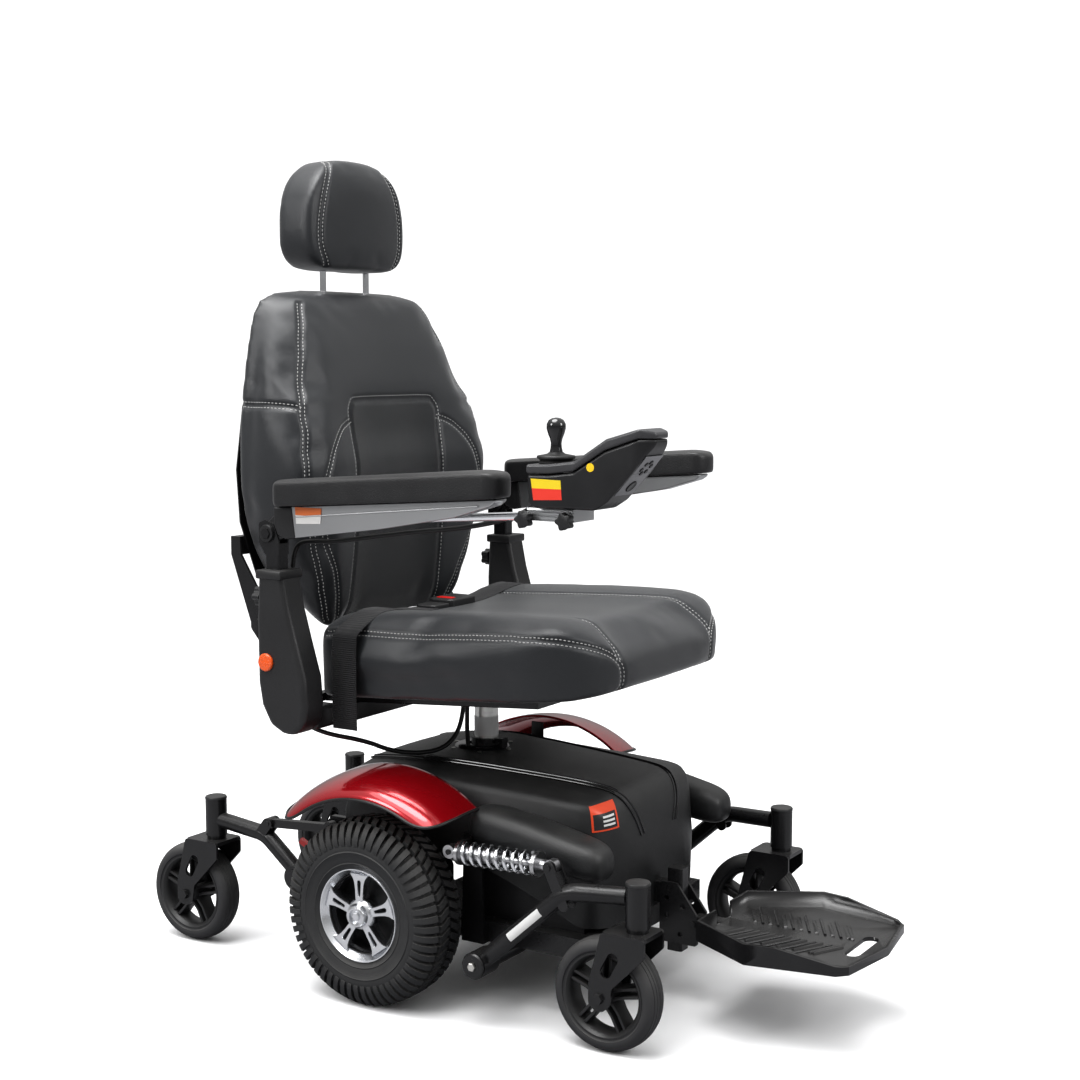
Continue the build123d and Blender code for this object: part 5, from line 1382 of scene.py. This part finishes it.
knob = turned("knob", [(788, 0), (788, 4), (812, 4), (813, 9), (817, 8.6), (822, 7.4), (828, 7.0),
                       (834, 8.2), (840, 10.6), (847, 12.6), (853, 12.4), (858, 9.8), (860.6, 5.4),
                       (861.4, 0)], (-300, -340, 0), axis="z", closed=False, steps=56)
new_piece("joystick_knob", knob, gloss_knob, "joystick_stick", "joystick_stick", crease=60)
for node, body, material in (("joystick_gimbal", "joystick_gimbal", boot_rubber),
                             ("power_button", "power_button", key_grey),
                             ("horn_button", "horn_button", key_grey),
                             ("speed_rocker", "speed_rocker", key_grey)):
    refined(node, body, material, ease=0.4)
box_label = label_material("label_yellow_red", (0.8, 0.6, 0.02), (0.75, 0.05, 0.03), 0.7705)
label("joystick_label", [(-329.2, -323, 755), (-329.2, -366, 757), (-329.2, -364, 782), (-329.2, -319, 783)],
      box_label, "joystick_module", -0.5)
badge_yellow = finish("badge_yellow", (0.85, 0.55, 0.02), 0.3, grain=0.001, depth=0.05)
badge = set_on(turned("badge", [(0, 0), (0, 5.6), (0.5, 5.6), (0.6, 0)], (0, 0, 0), axis="z",
                      closed=False, steps=32), (-328.8, -408, 800), (-1, 0, 0))
new_piece("joystick_badge", badge, badge_yellow, "joystick_module")


# ---- Lap belt --------------------------------------------------------------------------------
# Black webbing anchored under the seat on each side, laid over the cushion, with a moulded
# buckle in two halves on top.

def webbing_height(nodes, links):
    return use_group(nodes, weave_group, Yarn=0.003).outputs["Height"]


webbing = finish("webbing", (0.011, 0.011, 0.012), 0.7, grain=0.0015, depth=0.5, sheen=0.2,
                 specular=0.3, height=webbing_height)
seat_surface = surface_of(seat_mesh)


def belt_point(x, y):
    hit = seat_surface.ray_cast(Vector((x, y, 800)) / 1000, Vector((0, 0, -1)))[0]
    return hit.z * 1000 if hit is not None else 540.0


def band(name, path, width, thick):
    """Flat strap along (x, z) points, lying across a width in y, with thin rounded edges."""
    rings = []
    line = smooth_line([(x, 0, z) for x, z in path], 6)
    for i, p in enumerate(line):
        ahead = (line[min(i + 1, len(line) - 1)] - line[max(i - 1, 0)]).normalized()
        out = Vector((-ahead.z, 0, ahead.x)) * thick / 2
        rings.append([Vector((p.x, 44 + w, p.z)) + out * s for w, s in (
            (-width / 2, 0.3), (-width / 2 + 1, 1), (width / 2 - 1, 1), (width / 2, 0.3),
            (width / 2, -0.3), (width / 2 - 1, -1), (-width / 2 + 1, -1), (-width / 2, -0.3))])
    return lofted(name, rings)


for side, reach in ((1, 40), (-1, 52)):
    over = [(side * x, belt_point(side * x, 44) + 2.0) for x in range(reach, 244, 24)]
    side_run = [(side * 255, 541), (side * 260, 524), (side * 261, 480), (side * 261, 440), (side * 260, 400)]
    new_piece("lap_strap_" + ("left" if side > 0 else "right"), band("strap", over + side_run, 44, 2.0),
              webbing, "base", "seat_belt", slot="webbing", crease=50)
top = belt_point(0, 44)
buckle = prism("buckle", [(-14, 20), (44, 20), (50, 26), (50, 62), (44, 68), (-14, 68), (-20, 60), (-20, 28)],
               "z", top - 1, top + 13, 3.0)
tongue = prism("tongue", [(-56, 26), (-21, 24), (-21, 64), (-56, 62), (-60, 56), (-60, 32)], "z", top,
               top + 8, 2.0)
new_piece("belt_buckle", joined("buckle", buckle, tongue), moulded_black, "base", crease=30, eased=True)
button_red = finish("button_red", (0.5, 0.012, 0.01), 0.3, grain=0.001, depth=0.05)
press = prism("press", [(-8, 30), (4, 30), (4, 58), (-8, 58)], "z", top + 12, top + 14.2, 0.8, 2)
new_piece("belt_press", press, button_red, "base", crease=30)


# ---- Control cable ---------------------------------------------------------------------------
# One black 7 mm cable: along the right armrest, down its post and under the seat, then a loop
# that drops into the flange beside the seat post.

cable_rubber = finish("cable_rubber", (0.012, 0.012, 0.012), 0.4, grain=0.001, depth=0.1)


def cable(name, route, node, body):
    """Free cable on a smooth spline whose control points are the route's, in millimetres."""
    curve = bpy.data.curves.new(name, "CURVE")
    curve.dimensions = "3D"
    spline = curve.splines.new("NURBS")
    spline.points.add(len(route) - 1)
    for point, place in zip(spline.points, route):
        point.co = (*(c / 1000 for c in place), 1)
    spline.order_u = 3
    spline.use_endpoint_u = True
    curve.resolution_u = 10
    curve.bevel_depth, curve.bevel_resolution, curve.use_fill_caps = 0.0035, 3, True
    curve.materials.append(cable_rubber)
    piece = bpy.data.objects.new(name, curve)
    bpy.context.scene.collection.objects.link(piece)
    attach(piece, body)
    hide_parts(node)
    return piece


joystick_route = [(-272, -311.2, 762), (-267, -301, 757), (-259, -284, 742), (-255, -252, 726),
                  (-254, -206, 713), (-254, -150, 703), (-255, -94, 697), (-259, -38, 689),
                  (-262, 14, 681), (-263, 60, 674), (-264, 94, 673), (-265, 116, 671),
                  (-265.5, 128, 662), (-266, 131, 648)]
arm_route = [(-266.01, 131.1, 647.6), (-266, 135, 628), (-264, 133, 596), (-263, 128, 560),
             (-262, 129, 520), (-261, 135, 480), (-262, 138, 442), (-263, 130, 408),
             (-250, 99, 387), (-222, 78, 378)]
base_route = [(-221.6, 77.7, 377.9), (-194, 57, 369), (-160, 38, 350), (-124, 14, 341.5),
              (-92, -8, 344), (-68, -18, 360), (-54, -22, 388), (-50, -22, 416)]
flange_route = [(-38, -20, 416), (-36, -18, 386), (-33, -16, 354), (-30, -18, 324)]
cable("cable_on_armrest", joystick_route, "joystick_cable", "armrest_right")
cable("cable_on_post", arm_route, "arm_cable", "arm_post_right")
cable("cable_loop", base_route, "base_cable", "base")
cable("cable_drop", flange_route, "base_cable", "base")
